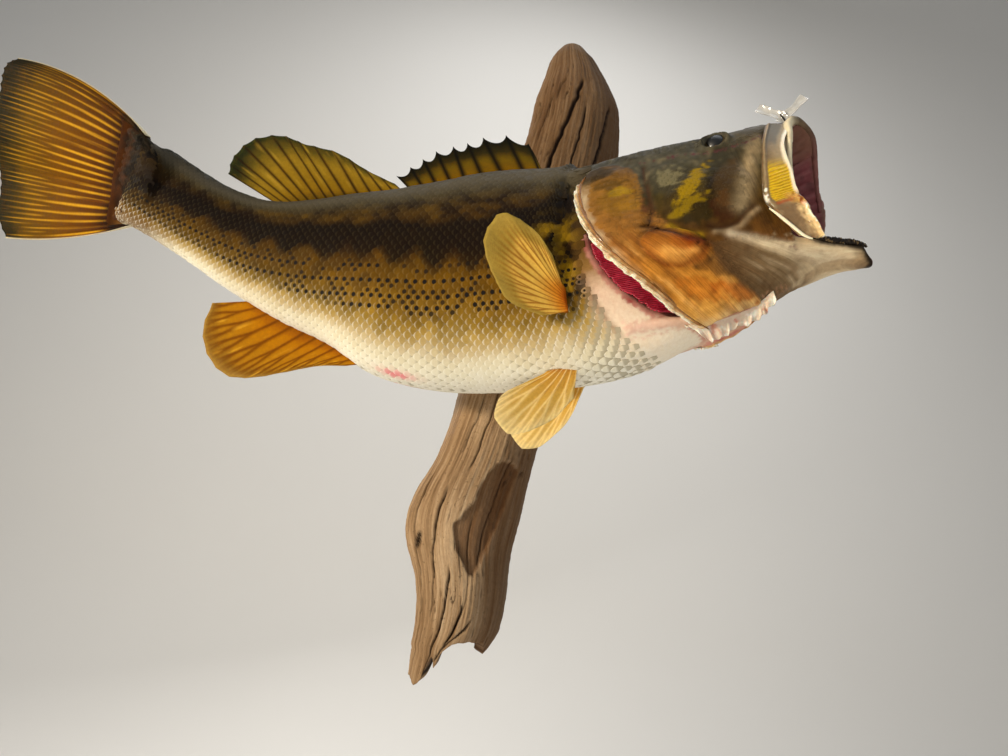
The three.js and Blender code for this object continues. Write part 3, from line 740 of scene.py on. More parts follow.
def weaveOf(region, u, v, a, h):
    cover, jaw, front = within(region, "cover"), within(region, "jaw"), within(region, "cheek") & (a > 62)
    weaveX = np.where(jaw, belowCourse(a, h) * 0.9, np.where(front, a * 0.55 + h * 0.05, 0))
    weaveX = np.where(cover, u * 42, weaveX)
    weaveY = np.where(cover, v * 5, np.where(jaw, a * 0.05, h * 0.06))
    share = np.where(cover, smooth(0.28, 0.45, v), np.where(jaw, 0.8, front * smooth(66, 74, a)))
    return {"weaveX": weaveX, "weaveY": weaveY, "weave": share}


def headRelief(region, u, v, points):
    a, l, h = headCoordinates(points)
    side, form = np.abs(l), headForms
    cheek, cover, jaw, crown = (within(region, name) for name in ("cheek", "cover", "jaw", "crown"))
    plate, outer = cheek | cover, cheek | cover | crown
    bean = hump(a, h, form["bean"])
    rise = plate * (4.0 * np.clip(1 - bean ** 2, 0, 1) ** 0.55)
    rise -= plate * (0.6 * bell(bean - 1.08, 0.10))
    rise += cheek * (2.2 * np.clip(1 - hump(a, h, form["cheekPad"]) ** 2, 0, 1))
    ring = hump(a, h, form["eyeOpening"])
    upper = smooth(-3, 3, h - form["eyeOpening"][1])
    lids = (1.9 + 1.4 * upper) * bell(ring - 1.30, 0.26) - 0.7 * bell(ring - 1.95, 0.3)
    rise += (outer & (side > 8)) * (lids - 7 * smooth(1.12, 0.86, ring))
    for mark in form["nostrils"]:
        nostril = hump(a, h, mark)
        rim = bell(nostril - 1.2, 0.35) - 1.3 * np.exp(-nostril ** 2 * 1.5)
        rise += (crown & (side > 5)) * (0.9 * rim)
    rise += cover * (1.1 * ripple(u * 15, v * 4, 16) * smooth(0.30, 0.5, v))
    for path, wide, _, _, height in headStrokes:
        rise += ((outer | jaw) & (side > 6)) * (height * strokeShare(a, h, path, wide))
    pleat = valueNoise(np.stack([a * 0.35 + 0.05 * h, 0 * a, h * 0.05], axis=1), 1.0, 14) - 0.5
    rise += cheek * (2.2 * pleat * (smooth(70, 78, a) * smooth(-34, -26, h) * smooth(40, 30, h)))
    rise += jaw * (0.7 * jawLines(a, l, h, 0.4) * smooth(46, 56, a))
    rise -= jaw * (0.8 * np.exp(-hump(a, h, form["jawPit"]) ** 2))
    return rise + np.where(outer, 0.8, 0.3) * (cloudNoise(points, 7, 3, 5) - 0.5)


def jawLines(a, l, h, pitch):
    return valueNoise(np.stack([a * 0.03, l * 0.1, belowCourse(a, h) * pitch], axis=1), 1.0, 15) - 0.5


# Markings. The same functions paint the skin and the scales over it.

coat = {
    "back": {0.0: (60, 57, 50), 0.22: (80, 74, 61), 0.28: (68, 60, 42), 0.33: (60, 46, 20),
             0.38: (66, 46, 12), 0.46: (78, 52, 9), 0.54: (94, 66, 10), 0.60: (104, 74, 14),
             0.66: (120, 90, 26), 0.70: (136, 108, 42), 0.74: (162, 136, 76), 0.78: (188, 168, 126),
             0.82: (212, 202, 176), 0.88: (224, 218, 198), 1.0: (230, 226, 212)},
    "bare": {0.3: (70, 60, 44), 0.5: (86, 62, 24), 0.58: (132, 98, 50), 0.66: (214, 184, 160),
             0.85: (226, 208, 186), 1.0: (228, 216, 196)},
    "tailRoot": {0.0: (48, 44, 34), 0.25: (34, 23, 8), 0.7: (50, 30, 7), 0.92: (92, 58, 18),
                 1.0: (140, 108, 62)},
    "bandMiddle": {"s": [0, 1.5, 4, 6, 8.3, 9.7, 11], "v": [0.55, 0.45, 0.435, 0.44, 0.455, 0.40, 0.37]},
    "bandHalf": 0.055,
    "teeth": {"first": 0.75, "pitch": 0.775, "depth": 0.075},
    "bandTone": (16, 10, 5),
    "blotchTone": (30, 18, 6),
    "shoulderLimit": {"v": [0.0, 0.45, 0.57, 0.65, 0.72, 0.79, 0.87, 1.0],
                      "s": [11.2, 11.0, 10.6, 10.45, 10.3, 10.2, 10.1, 10.2]},
}


def cloudsOf(points, *kinds):  # noise about zero: size, octaves and seed of each
    return (cloudNoise(points, *kind) - 0.5 for kind in kinds)


def bandShare(s, v, coarse, fine):
    middle = np.interp(s, coat["bandMiddle"]["s"], coat["bandMiddle"]["v"])
    phase = (s - coat["teeth"]["first"]) / coat["teeth"]["pitch"]
    tooth = 1 - np.abs(phase - np.round(phase)) * 2
    lower = middle + coat["bandHalf"] * 0.55 + coat["teeth"]["depth"] * tooth + 0.05 * fine
    upper = middle - coat["bandHalf"] * 1.1 + 0.06 * coarse
    return smooth(upper - 0.03, upper + 0.02, v) * smooth(lower + 0.014, lower - 0.014, v)


def paintBody(s, v, points):
    coarse, fine = cloudsOf(points, (16, 3, 1), (5.0, 2, 2))
    tones = colourAlong(coat["back"], v + 0.045 * coarse + 0.02 * fine - 0.03 * smooth(3, 0, s))
    patches = smooth(0.12, 0.28, coarse + 0.5 * fine) * smooth(0.27, 0.33, v) * smooth(0.62, 0.5, v)
    tones = blend(tones, (88, 66, 20), 0.45 * patches)
    tones = shaded(tones, -0.40 * smooth(6.0, 3.5, s) * smooth(0.28, 0.4, v) * smooth(0.76, 0.7, v))
    tones = shaded(tones, 1.1 * fine * smooth(0.22, 0.3, v) * smooth(0.78, 0.7, v))
    blotch = smooth(0.06, -0.10, coarse + 0.8 * fine) * smooth(0.26, 0.33, v) * smooth(0.56, 0.46, v)
    depth = np.clip(0.92 + 0.9 * coarse + 0.9 * fine, 0, 1)
    tailBlotch = np.exp(-(((s - 0.1) / 0.9) ** 2 + ((v - 0.50) / 0.24) ** 2))
    near = smooth(9.2, 9.8, s) * smooth(0.36, 0.46, v) * smooth(0.70, 0.62, v)
    limit = np.interp(v, coat["shoulderLimit"]["v"], coat["shoulderLimit"]["s"])
    vent = np.exp(-((s - 6.42) / 0.27) ** 2 - ((v - 0.93) / 0.024) ** 2)
    return painted(
        tones,
        (coat["blotchTone"], 0.8 * blotch),
        (coat["bandTone"], bandShare(s, v, coarse, fine) * depth * 0.92),
        ((22, 13, 6), np.clip(0.75 + 1.2 * fine, 0, 1) * tailBlotch),
        ((98, 68, 30), 0.85 * (smooth(1.9, 0.5, s + 0.5 * fine) * smooth(0.66, 0.80, v))),
        ((150, 118, 18), 0.8 * near * smooth(-0.08, 0.10, coarse + fine)),
        ((24, 17, 8), 0.85 * near * smooth(-0.04, -0.2, coarse + fine)),
        (colourAlong(coat["bare"], v), smooth(limit - 0.3, limit + 0.15, s + 0.5 * coarse)),
        ((112, 78, 50), 0.6 * (bell(s - limit - 0.02, 0.06) * smooth(0.5, 0.6, v) * smooth(0.86, 0.78, v))),
        ((226, 120, 132), np.clip(1.1 * vent, 0, 1)),
    )


headTones = {
    "skin": {-40: (92, 60, 26), -18: (76, 52, 20), 0: (66, 50, 20), 16: (62, 54, 28), 32: (70, 66, 50),
             46: (76, 73, 62), 58: (68, 67, 60), 72: (62, 61, 55)},
    "cover": {0.0: (64, 50, 30), 0.18: (124, 88, 38), 0.42: (146, 100, 46), 0.6: (164, 108, 42),
              0.8: (188, 128, 50), 0.93: (204, 152, 78), 1.0: (214, 180, 128)},
    "jaw": {46: (84, 60, 34), 60: (98, 78, 54), 78: (120, 100, 74), 92: (158, 136, 108), 106: (168, 146, 116),
            116: (120, 100, 76), 122: (62, 50, 38)},
    "lip": {0.0: (236, 222, 190), 0.36: (222, 206, 172), 0.46: (112, 96, 74), 0.6: (104, 80, 66),
            0.75: (128, 86, 80), 1.0: (132, 84, 82)},
    "throat": {0.0: (214, 178, 160), 0.5: (206, 168, 140), 1.0: (150, 110, 76)},
    "flesh": {-40: (140, 100, 88), 0: (110, 62, 66), 40: (86, 42, 50)},
}
headMarks = [  # a, h, length, width, tilt, tone, strength and speckle
    (66, 26, 13, 13, 0, (48, 44, 32), 0.7, 0.4),
    (33, 24, 12, 13, 0, (62, 58, 46), 0.7, 0.4),
    (34, 26, 7, 7.5, 0, (132, 124, 92), 0.6, 1.8),
    (43.5, 11, 20, 4.6, 53, (148, 120, 12), 0.9, 1.5),
    (60, 4, 8, 13, 10, (34, 26, 12), 0.85, 0.7),
    (44, -5, 15, 8, -14, (44, 36, 12), 0.85, 1.0),
    (40, -1, 12, 3.4, 20, (140, 114, 12), 0.7, 1.8),
    (57, -9, 6, 8, 0, (58, 32, 14), 0.85, 1.0),
    (60, -3, 4, 6, 0, (120, 66, 20), 0.6, 1.4),
    (64, 8, 7, 20, -20, (74, 56, 32), 0.75, 0.4),
]
coverMarks = [
    (-8, 44, 17, 6, 0, (56, 46, 30), 0.85, 0.4),
    (4, 20, 13, 15, 0, (128, 92, 34), 0.8, 0.6),
    (-2, 31, 10, 5, 0, (84, 62, 26), 0.7, 1.6),
    (6, 24, 6, 4, 0, (172, 138, 30), 0.6, 1.4),
    (10, 12, 7, 5, 0, (156, 112, 36), 0.7, 1.6),
    (20, 18, 3.4, 17, -14, (88, 50, 32), 0.8, 0.4),
    (36, -50, 14, 5, -20, (186, 108, 30), 0.6, 1.4),
    (44, -40, 13, 5, -22, (96, 62, 26), 0.75, 1.6),
    (50, -52, 12, 4, -16, (172, 92, 30), 0.7, 1.4),
]
jawLine = {"a": [40, 42, 44, 49.5, 56.5, 66], "h": [-18, -25, -36, -45, -53.5, -58]}


def marked(tones, a, h, marks, coarse, fine, where):
    for mark in marks:
        tone, strength, speckle = mark[5:]
        edge = hump(a, h, mark) + 0.4 * coarse + speckle * fine
        tones = blend(tones, tone, strength * smooth(1.12, 0.75, edge) * where)
    return tones


def masked(mask, inside, outside):
    return np.where(mask[:, None], inside, outside)


def coverTones(u, v, a, h, coarse, fine):
    flow = ripple(u * 15 + 2 * coarse, v * 4, 17)
    tones = painted(colourAlong(headTones["cover"], v + 0.12 * coarse),
                    ((110, 62, 18), 0.6 * smooth(0.05, 0.35, flow) * smooth(0.3, 0.5, v)),
                    ((212, 164, 96), 0.5 * smooth(-0.1, -0.35, flow) * smooth(0.4, 0.6, v)))
    return shaded(marked(tones, a, h, coverMarks, coarse, fine, 1), 0.7 * fine)


def beanTones(a, h, lens, fine):
    # Painted highlight on the lobe's lower part, and painted shade along its upper side where the cheek
    # overlaps it; the deep orange is its own colour.
    glow, deep = (np.exp(-hump(a, h, headForms[name]) ** 2) for name in ("beanHighlight", "beanDeep"))
    tones = painted((150, 90, 28),
                    ((196, 138, 66), glow),
                    ((150, 66, 6), np.clip(deep * (1 + 2 * fine), 0, 1)),
                    ((58, 28, 8), 0.9 * (smooth(0.35, 0.95, lens) * smooth(-26, -18, h + 0.5 * (a - 27)))))
    return shaded(tones, 0.6 * fine)


def jawTones(v, a, l, h, coarse, fine):
    rim = np.minimum(v, 1 - v) * 2
    dark = smooth(0.34, 0.2, rim + 0.1 * fine) * smooth(94, 101, a) + smooth(117, 119, a + 4 * fine)
    bright = bell(rim - 0.42, 0.07) * smooth(92, 100, a) * smooth(118, 112, a)
    tones = painted(colourAlong(headTones["jaw"], a + 16 * coarse),
                    ((188, 168, 136), 0.6 * smooth(-5, 2, belowCourse(a, h)) * smooth(52, 66, a)),
                    ((206, 188, 156), 0.5 * smooth(0.05, 0.3, jawLines(a, l, h, 0.45)) * smooth(56, 76, a)),
                    ((74, 52, 30), 0.6 * smooth(0.0, 0.3, coarse + fine) * smooth(96, 64, a)),
                    ((26, 20, 14), np.clip(dark, 0, 0.95)),
                    ((214, 196, 164), 0.6 * bright))
    return shaded(tones, 0.5 * fine)


def paintHead(region, u, v, points):
    a, l, h = headCoordinates(points)
    coarse, fine = cloudsOf(points, (11, 3, 7), (3.0, 2, 8))
    cheek, cover, jaw, crown = (within(region, name) for name in ("cheek", "cover", "jaw", "crown"))
    outer, side = cheek | crown, np.abs(l)
    tones = colourAlong(headTones["skin"], h + 14 * coarse)
    tones = blend(tones, (104, 94, 70), 0.5 * smooth(0.10, 0.3, fine) * smooth(10, 30, h))
    tones = marked(shaded(tones, 1.1 * fine), a, h, headMarks, coarse, fine, outer * smooth(8, 14, side))
    tones = blend(tones, (70, 62, 48), 0.7 * (smooth(62, 84, a) * smooth(28, 40, h)) * outer)
    onCover = coverTones(u, v, a, h, coarse, fine)
    # The gill cover's own pale rear margin, broken into patches of painted sheen.
    margin = smooth(0.30, 0.06, u + 0.3 * (v - 0.2) + 0.3 * coarse)
    margin = margin * smooth(0.10, 0.24, v) * smooth(1.0, 0.9, v)
    sheen = valueNoise(sheet(u * 26, v * 30), 1.0, 18)
    lens = hump(a, h, headForms["bean"])
    # Painted shade in the groove round the gill-cover lobe, stronger on its upper side.
    grooveShade = 0.3 + 0.3 * smooth(-30, -20, h + 0.5 * (a - 27))
    onJaw = jawTones(v, a, l, h, coarse, fine)
    above = h - np.interp(a, jawLine["a"], jawLine["h"]) + 8 * coarse
    tones = painted(
        masked(cover, onCover, tones),
        ((216, 198, 166), np.clip(margin * (0.15 + 0.75 * sheen), 0, 1) * cover),
        (beanTones(a, h, lens, fine), 0.9 * smooth(1.06, 0.88, lens + 0.1 * coarse) * (cover | cheek)),
        ((56, 30, 12), grooveShade * bell(lens - 1.08, 0.09) * (cover | cheek)),
        (onJaw, smooth(-3, 5, above) * smooth(40, 48, a + 4 * coarse) * cover * (lens > 1.05)),
    )
    tones = masked(jaw, blend(onJaw, onCover, smooth(0, -6, above) * smooth(74, 60, a)), tones)
    for path, wide, tone, strength, _ in headStrokes:
        share = strokeShare(a, h, path, wide) * (outer | cover | jaw) * (side > 6) * (1 + fine)
        tones = blend(tones, tone, np.clip(strength * share, 0, 1))
    for name, at, grain, places in (("lip", v + 0.1 * coarse, 0.6, ["lip"]),
                                    ("throat", v + 0.3 * coarse, 0.3, ["throat"]),
                                    ("flesh", h + 30 * coarse, 0.5, ["palate", "cheekInside", "jawInside"])):
        tones = masked(within(region, *places), shaded(colourAlong(headTones[name], at), grain * fine), tones)
    gillTone = blend((196, 140, 126), (140, 40, 46), smooth(-0.1, 0.3, coarse))
    return masked(within(region, "coverInside", "shoulder"), gillTone, tones)


def paintTailRoot(u, v, points):
    coarse = cloudNoise(points, 6, 2, 9)
    fine = cloudNoise(points, 2.6, 2, 10) - 0.5
    return painted(colourAlong(coat["tailRoot"], u + 0.2 * fine),
                   ((62, 34, 4), smooth(0.5, 0.9, v + 0.6 * fine)),
                   ((14, 9, 4), smooth(0.42, 0.56, coarse) * smooth(1.0, 0.6, v) * 0.85))


def skinMaterial():
    bench = Bench("bassSkin")
    streak = bench.noise(1.0, 4, 0.6, bench.flat(bench.value("weaveX"), bench.value("weaveY")))
    weave = bench.value("weave")
    base = bench.flecked(weave * 0.85, bench.tint(), streak, (0.10, 0.08, 0.05), (0.92, 0.90, 0.86))
    tone = bench.flecked(0.55, base, bench.noise(420, 3, 0.6), (0.32, 0.30, 0.26), (0.72, 0.7, 0.66))
    height = bench.noise(900, 2) * 0.35 + bench.cells(260) * 0.65 + streak * weave * 1.6
    wet = bench.between(bench.noise(60, 2), 0.3, 0.7, skin["roughness"] - 0.08, skin["roughness"] + 0.12)
    return bench.surface({
        "Base Color": tone, "Roughness": wet + bench.value("dull") * 0.3, "Coat Weight": 0.0,
        "Normal": bench.bump(height, 0.0004, 0.8), "Specular IOR Level": 0.10, **scattering(0.05),
    })


def makeSkin():
    forms, samples = [], []
    for outer, inner, form, shape, isInner in fleshParts():
        forms.append(bentForm(form, shape))
        samples.append(regionSample(form, outer, inner, isInner))
    spots, marks = (np.concatenate(lists) for lists in zip(*samples))
    whole = objectFrom("flesh", joined(forms))
    remesh = whole.modifiers.new("shell", "REMESH")
    remesh.mode = "VOXEL"
    remesh.voxel_size = skin["voxel"] * mm
    mesh = settledMesh(whole, "bass_skin")
    bpy.data.objects.remove(whole)
    edges = edgesOf(mesh)
    points = spread(meshPoints(mesh), edges, skin["smoothing"])
    origin, axes = bodyFrame(0.0)
    ahead = (points / mm - origin) @ axes[0]
    narrow = smooth(-34, -26, ahead) * smooth(24, 6, ahead)  # where the body meets the tail fin
    points += (spread(points, edges, 45) - points) * narrow[:, None]
    print("skin remeshed", len(points), "points")
    found = regionOf(points, spots, marks)
    region, u, v = np.round(found[:, 0]), found[:, 1], found[:, 2]
    setPoints(mesh, points)
    inFlesh = points / mm
    rise = spread(headRelief(region, u, v, inFlesh)[:, None], edges, 1)
    points = points + meshPoints(mesh, "normal") * (rise * mm)
    setPoints(mesh, spread(points, edges, 1, 0.3))
    isBody, s = within(region, "body"), flankAt(v)
    isTail = within(region, "tailRoot") | (isBody & (s < 0.06))
    tones = masked(isBody, paintBody(s, u, inFlesh), paintHead(region, u, v, inFlesh))
    tones = masked(isTail, paintTailRoot(np.where(isBody, 0.5, u), v * ~isBody, inFlesh), tones)
    tones += (spread(tones, edges, 8) - tones) * (narrow * smooth(-12, -4, ahead))[:, None]
    writeTint(mesh, spread(tones, edges, 1))
    a, _, h = headCoordinates(inFlesh)
    writeValues(mesh, dull=isTail, isBody=isBody, **weaveOf(region, u, v, a, h))
    plates = [name + word for name in ("cheek_", "gill_cover_", "premaxilla_") for word in ("right", "left")]
    piece = objectOf("bass_skin", mesh, skinMaterial())
    return finished(piece, "body_skin", "trunk", "tail", "skull", "lower_jaw", *plates)


def thinSkin(piece):  # fewer faces under the scales, on the far side and inside; the shown head keeps its own
    mesh = piece.data
    isShown = (readValues(mesh, "isBody")[0] < 0.5) & (meshPoints(mesh, "normal")[:, 1] < skin["thinFacing"])
    group = piece.vertex_groups.new(name="thin")
    group.add([int(index) for index in np.flatnonzero(~isShown)], 1.0, "REPLACE")
    thinner = piece.modifiers.new("thinner", "DECIMATE")
    thinner.ratio = skin["mostFaces"] / trianglesOf(piece)
    thinner.vertex_group = group.name
    thinned = settledMesh(piece, mesh.name)
    piece.modifiers.remove(thinner)
    piece.vertex_groups.remove(group)
    piece.data = thinned
    print("skin thinned to", trianglesOf(piece), "triangles")


# Scales: one small domed form, repeated as shingles that lie on the skin.

scales = {
    "long": 6.3,
    "wide": 6.9,
    "lap": 1.75,
    "lift": 0.62,
    "sink": 0.42,
    "thick": 0.16,
    "curve": 42.0,
    "widen": 1.12,
    "dome": 0.30,
    "headLift": 0.3,
    "headFlank": 0.3,  # head scales take the darker looks of the flank
    "sheetSize": 0.003,  # of one scale on the sheet for baking
    "station": 33,
    "lateral": 0.43,
    "growth": {"s": [0, 1.5, 3, 5, 7, 9, 11], "share": [0.66, 0.72, 0.80, 0.94, 1.0, 0.98, 0.90]},
    "spotRows": {5: 0.35, 6: 0.15, 7: 0.9, 8: 0.3, 9: 0.15, 10: 1.0, 11: 0.25, 12: 0.55, 13: 1.0, 14: 0.2,
                 15: 0.9, 16: 0.35},
}


def scaleForm():
    form = bmesh.new()
    bmesh.ops.create_grid(form, x_segments=3, y_segments=4, size=0.5)
    for vert in form.verts:
        x, y = vert.co.x + 0.5, vert.co.y * 2
        vert.co = (x - 0.26 * y * y * x ** 1.5, y * (0.66 + 0.34 * min(x * 2, 1)) * (1 - 0.22 * x ** 3), 0)
    bmesh.ops.recalc_face_normals(form, faces=form.faces)
    grown = bmesh.ops.extrude_edge_only(form, edges=[edge for edge in form.edges if edge.is_boundary])
    bmesh.ops.translate(form, verts=freshVerts(grown), vec=(0, 0, -1))
    bmesh.ops.contextual_create(form, geom=[edge for edge in form.edges if edge.is_boundary])
    bmesh.ops.recalc_face_normals(form, faces=form.faces)
    return form


def runOf(points):
    return np.concatenate([[0], np.cumsum(np.linalg.norm(np.diff(points, axis=0), axis=1))])


def arcTable(s, side):
    angle = np.linspace(0, pi, 241)
    return angle / pi, runOf(bodyPoint(np.full(241, s), angle * side))


def scaleRoots(side):
    spine = np.linspace(0, 11, 1200)
    run = runOf(bodyFrame(spine)[0])
    roots = []
    at, column = 3.0, 0
    while at < run[-1] + 8:
        s = min(float(np.interp(at, run, spine)), 11.0) + max(0, at - run[-1]) / 30
        share = np.interp(s, scales["growth"]["s"], scales["growth"]["share"])
        v, arc = arcTable(min(s, 11.0), side)
        middle = np.interp(scales["lateral"], v, arc)
        pitch = scales["wide"] / 2 * share
        for row in range(-40, 41):
            away = middle + row * pitch
            if (row + column) % 2 == 0 and 0.35 * pitch < away < arc[-1] + 0.1 * pitch:
                roots.append((s, float(np.interp(away, arc, v)), row, share))
        at += scales["long"] / 2 * share
        column += 1
    return np.array(roots)


def picked(roots, kept):
    return {key: value[kept] if isinstance(value, np.ndarray) else value for key, value in roots.items()}


def bedded(roots, tree, side):  # where each scale rests on the skin, the slope there, and whether it is near
    isRoot = roots["kind"] == "tailRoot"
    starts = roots["place"] + toViewer * (side * 10 if isRoot else 0)
    rests = [tree.find_nearest(Vector(point * mm)) for point in starts]
    spots, normals = (np.array([rest[k][:] for rest in rests]) for k in range(2))
    spots = spots / mm
    return spots, normals, np.linalg.norm(spots - roots["place"], axis=1) < (12 if isRoot else 5)


def scaleTones(roots, s, v, places, spots, repeat):
    if roots["kind"] == "body":
        return 0.5 * paintBody(s, v, places) + 0.5 * repeat(paintBody(roots["s"], roots["v"], spots))
    if roots["kind"] == "tailRoot":
        return paintTailRoot(repeat(roots["u"]), repeat(roots["v"]), places)
    return paintHead(repeat(roots["region"]), repeat(roots["u"]), repeat(roots["v"]), places)


def scaleCoat(name, slot, roots, tree, side, material):
    form = scaleForm()
    flat = np.array([vert.co[:] for vert in form.verts])
    faces = [[vert.index for vert in face.verts] for face in form.faces]
    form.free()
    spots, normals, near = bedded(roots, tree, side)
    roots, spots, normals = picked(roots, near), spots[near], normals[near]
    tail = unit(roots["tail"] - normals * np.sum(roots["tail"] * normals, axis=1)[:, None])
    across = np.cross(normals, tail)
    count, size = len(spots), len(flat)
    repeat = lambda values: np.repeat(values, size, axis=0)
    isBody = roots["kind"] == "body"
    x = (flat[:, 0] - 0.5) * (roots["long"] * scales["lap"])[:, None]
    y = flat[:, 1] * (roots["wide"] * 0.5 * scales["widen"])[:, None]
    dome = scales["dome"] * (1 - flat[:, 1] ** 2) * np.sin(pi * np.clip(flat[:, 0], 0, 1))
    lift = scales["lift"] * (1 if isBody else scales["headLift"])
    share = (roots["long"] / scales["long"])[:, None]
    rise = (-scales["sink"] + (lift + scales["sink"]) * flat[:, 0] + dome) * share
    rise = rise + roots["stand"][:, None]
    rise = rise - y ** 2 / (2 * scales["curve"]) - 0.3 * x ** 2 / (2 * scales["curve"])
    rise = rise + np.minimum(flat[:, 2], 0) * (scales["thick"] + 0.25 * (1 - flat[:, 0]))
    places = spots[:, None] + tail[:, None] * x[..., None] + across[:, None] * y[..., None]
    places = (places + normals[:, None] * rise[..., None]).reshape(-1, 3)
    start = np.arange(count)[:, None, None] * size
    quads, lids = [face for face in faces if len(face) == 4], [face for face in faces if len(face) > 4]
    numbered = [(np.array(kind)[None] + start).reshape(-1, len(kind[0])).tolist() for kind in (quads, lids)]
    mesh = bpy.data.meshes.new(name)
    mesh.from_pydata((places * mm).tolist(), [], numbered[0] + numbered[1])
    mesh.validate()
    print(name, count, "scales")
    v = repeat(roots["v"]) + (y / np.maximum(roots["girth"], 1)[:, None]).ravel() * roots["turn"]
    s = repeat(roots["s"]) - (x / scales["station"]).ravel()
    writeTint(mesh, scaleTones(roots, s, v, places, spots, repeat))
    writeValues(mesh, alongScale=np.tile(flat[:, 0], count), acrossScale=np.tile(flat[:, 1], count))
    writeValues(mesh, spotted=repeat(roots["spot"]), chance=repeat(roots["chance"]),
                bodyV=v if isBody else 0 * v + scales["headFlank"])
    patch = np.tile((flat[:, :2] - (0.5, 0)) * (1, 0.5) * scales["sheetSize"], (count, 1))
    unwrap = repeat(np.stack([roots["sheetU"], roots["sheetV"]], axis=1)) + patch
    corners = np.empty(len(mesh.loops), np.int32)
    mesh.loops.foreach_get("vertex_index", corners)
    layer = mesh.uv_layers.new(name="OFBake")
    layer.data.foreach_set("uv", unwrap[corners].astype(np.float32).ravel())
    piece = objectOf(name, mesh, material)
    mesh.set_sharp_from_angle(angle=math.radians(50))
    return finished(piece, slot)


def scaleMaterial():
    bench = Bench("bassScale")
    length, width = bench.value("alongScale"), bench.value("acrossScale")
    spotted, chance, flank = bench.value("spotted"), bench.value("chance"), bench.value("bodyV")
    tone = bench.flecked(0.45, bench.tint(), bench.noise(700, 3, 0.6), (0.34, 0.31, 0.26), (0.70, 0.68, 0.62))
    tone = bench.flecked(0.35, tone, chance, (0.40, 0.39, 0.36), (0.60, 0.59, 0.56))
    pale = bench.between(flank, 0.62, 0.76)
    # Painted shade at each scale's root, where the scale in front overlaps it: near black on the flank, grey
    # on the belly.
    root = bench.between(length, 0.62, 0.40) * bench.between(flank, 0.5, 0.85, 0.22, 0.8)
    tone = bench.mix(root, tone, bench.mix(pale, (0.012, 0.008, 0.003), (0.40, 0.35, 0.24)))
    # Painted highlight along each scale's free edge: gold on the flank, near white on the belly.
    rim = bench.between(length + width * width * 0.18, 0.84, 0.98)
    rim = rim * bench.between(flank, 0.45, 0.8, 0.05, 0.5)
    bright = bench.mix(0.45, tone, (0.80, 0.62, 0.25), "SCREEN")
    tone = bench.mix(rim, tone, bench.mix(pale, bright, (0.92, 0.90, 0.80)))
    away = (length - 0.64) * (length - 0.64) * 26.0 + width * width * 2.6
    tone = bench.mix(bench.between(away, 0.62, 0.25) * spotted, tone, (0.012, 0.009, 0.006))
    ribs = (length * 46.0 + width * width * 9.0).sine() * 0.5
    fan = (width * 34.0).sine() * bench.between(length, 0.5, 0.9)
    height = ribs * 0.35 + fan * 0.35 + bench.noise(500, 2) * 0.5
    return bench.surface({
        "Base Color": tone, "Roughness": bench.between(chance, 0, 1, 0.56, 0.74),
        "Normal": bench.bump(height, 0.00014, 0.7), "Coat Weight": 0.0, "Specular IOR Level": 0.09,
    })


def bodyRoots(side, dice):
    s, v, row, share = scaleRoots(side).T
    limit = np.interp(v, coat["shoulderLimit"]["v"], coat["shoulderLimit"]["s"])
    first = 0.02 + 0.12 * smooth(0.12, 0.04, v) + 0.2 * smooth(0.8, 0.95, v)
    kept = (s < np.minimum(limit, 11) + 0.02) & (s > first)
    s, v, row, share, limit = (values[kept] for values in (s, v, row, share, limit))
    share = share * (1 - 0.42 * smooth(limit - 0.7, limit, s) * smooth(0.5, 0.6, v))
    chance = dice.random(len(s))
    strength = np.array([scales["spotRows"].get(int(item), 0.0) for item in row])
    strength = strength * np.where(valueNoise(sheet(s * 1.3, row * 7.3), 1.0, 77) < 0.22, 0.25, 1)
    spot = np.where(chance < strength + 0.03, np.clip(0.75 + 0.3 * strength, 0, 1), 0)
    girths = [arcTable(float(station), side)[1][-1] for station in range(12)]
    return {
        "kind": "body", "place": bodyPoint(s, v * pi * side), "tail": -bodyFrame(s)[1][0], "s": s, "v": v,
        "spot": spot * smooth(0.50, 0.54, v) * smooth(0.73, 0.69, v), "chance": dice.random(len(s)),
        "long": scales["long"] * share * (0.97 + 0.06 * chance), "wide": scales["wide"] * share,
        "girth": np.interp(s, np.arange(12), girths), "stand": 0.4 * smooth(limit - 1.3, limit - 0.4, s),
        "turn": side, "sheetU": 0.02 + 0.8 * s / 11.6, "sheetV": 0.5 + side * (0.01 + 0.46 * v),
    }


def patchRoots(patch, side, dice):
    columns, rows = patch["count"]
    i, j = (item.ravel() for item in np.meshgrid(np.arange(columns), np.arange(rows), indexing="ij"))
    ahead = (i + 0.5 * (j % 2) + 0.5) / (columns + 0.5)
    down = (j + 0.5) / rows
    u, v = (patch[key][0] + (patch[key][1] - patch[key][0]) * at for key, at in (("u", ahead), ("v", down)))
    surface = patch["surface"](side)
    place = surface(u, v)
    tail = surface(u + patch["tail"][0] * 0.02, v + patch["tail"][1] * 0.02) - place
    count = len(u)
    kept = np.minimum(np.minimum(ahead, 1 - ahead) * 9, np.minimum(down, 1 - down) * 7) > dice.random(count)
    zeros = np.zeros(count)
    return picked({
        "kind": patch["region"], "stand": zeros, "place": place, "tail": tail, "u": u, "v": v, "s": zeros,
        "region": zeros + regions[patch["region"]], "spot": zeros, "chance": dice.random(count),
        "long": patch["long"] * (0.9 + 0.2 * dice.random(count)), "wide": zeros + patch["long"] * 1.08,
        "girth": zeros + 1, "turn": 0, "sheetU": 0.84 + 0.14 * ahead,
        "sheetV": patch["sheet"] + side * (0.02 + 0.08 * down),
    }, kept)


def crownSurface(side):
    return lambda u, v: skullShape(np.where(side > 0, u, skull["crownShare"] - u), v, 0 * u)


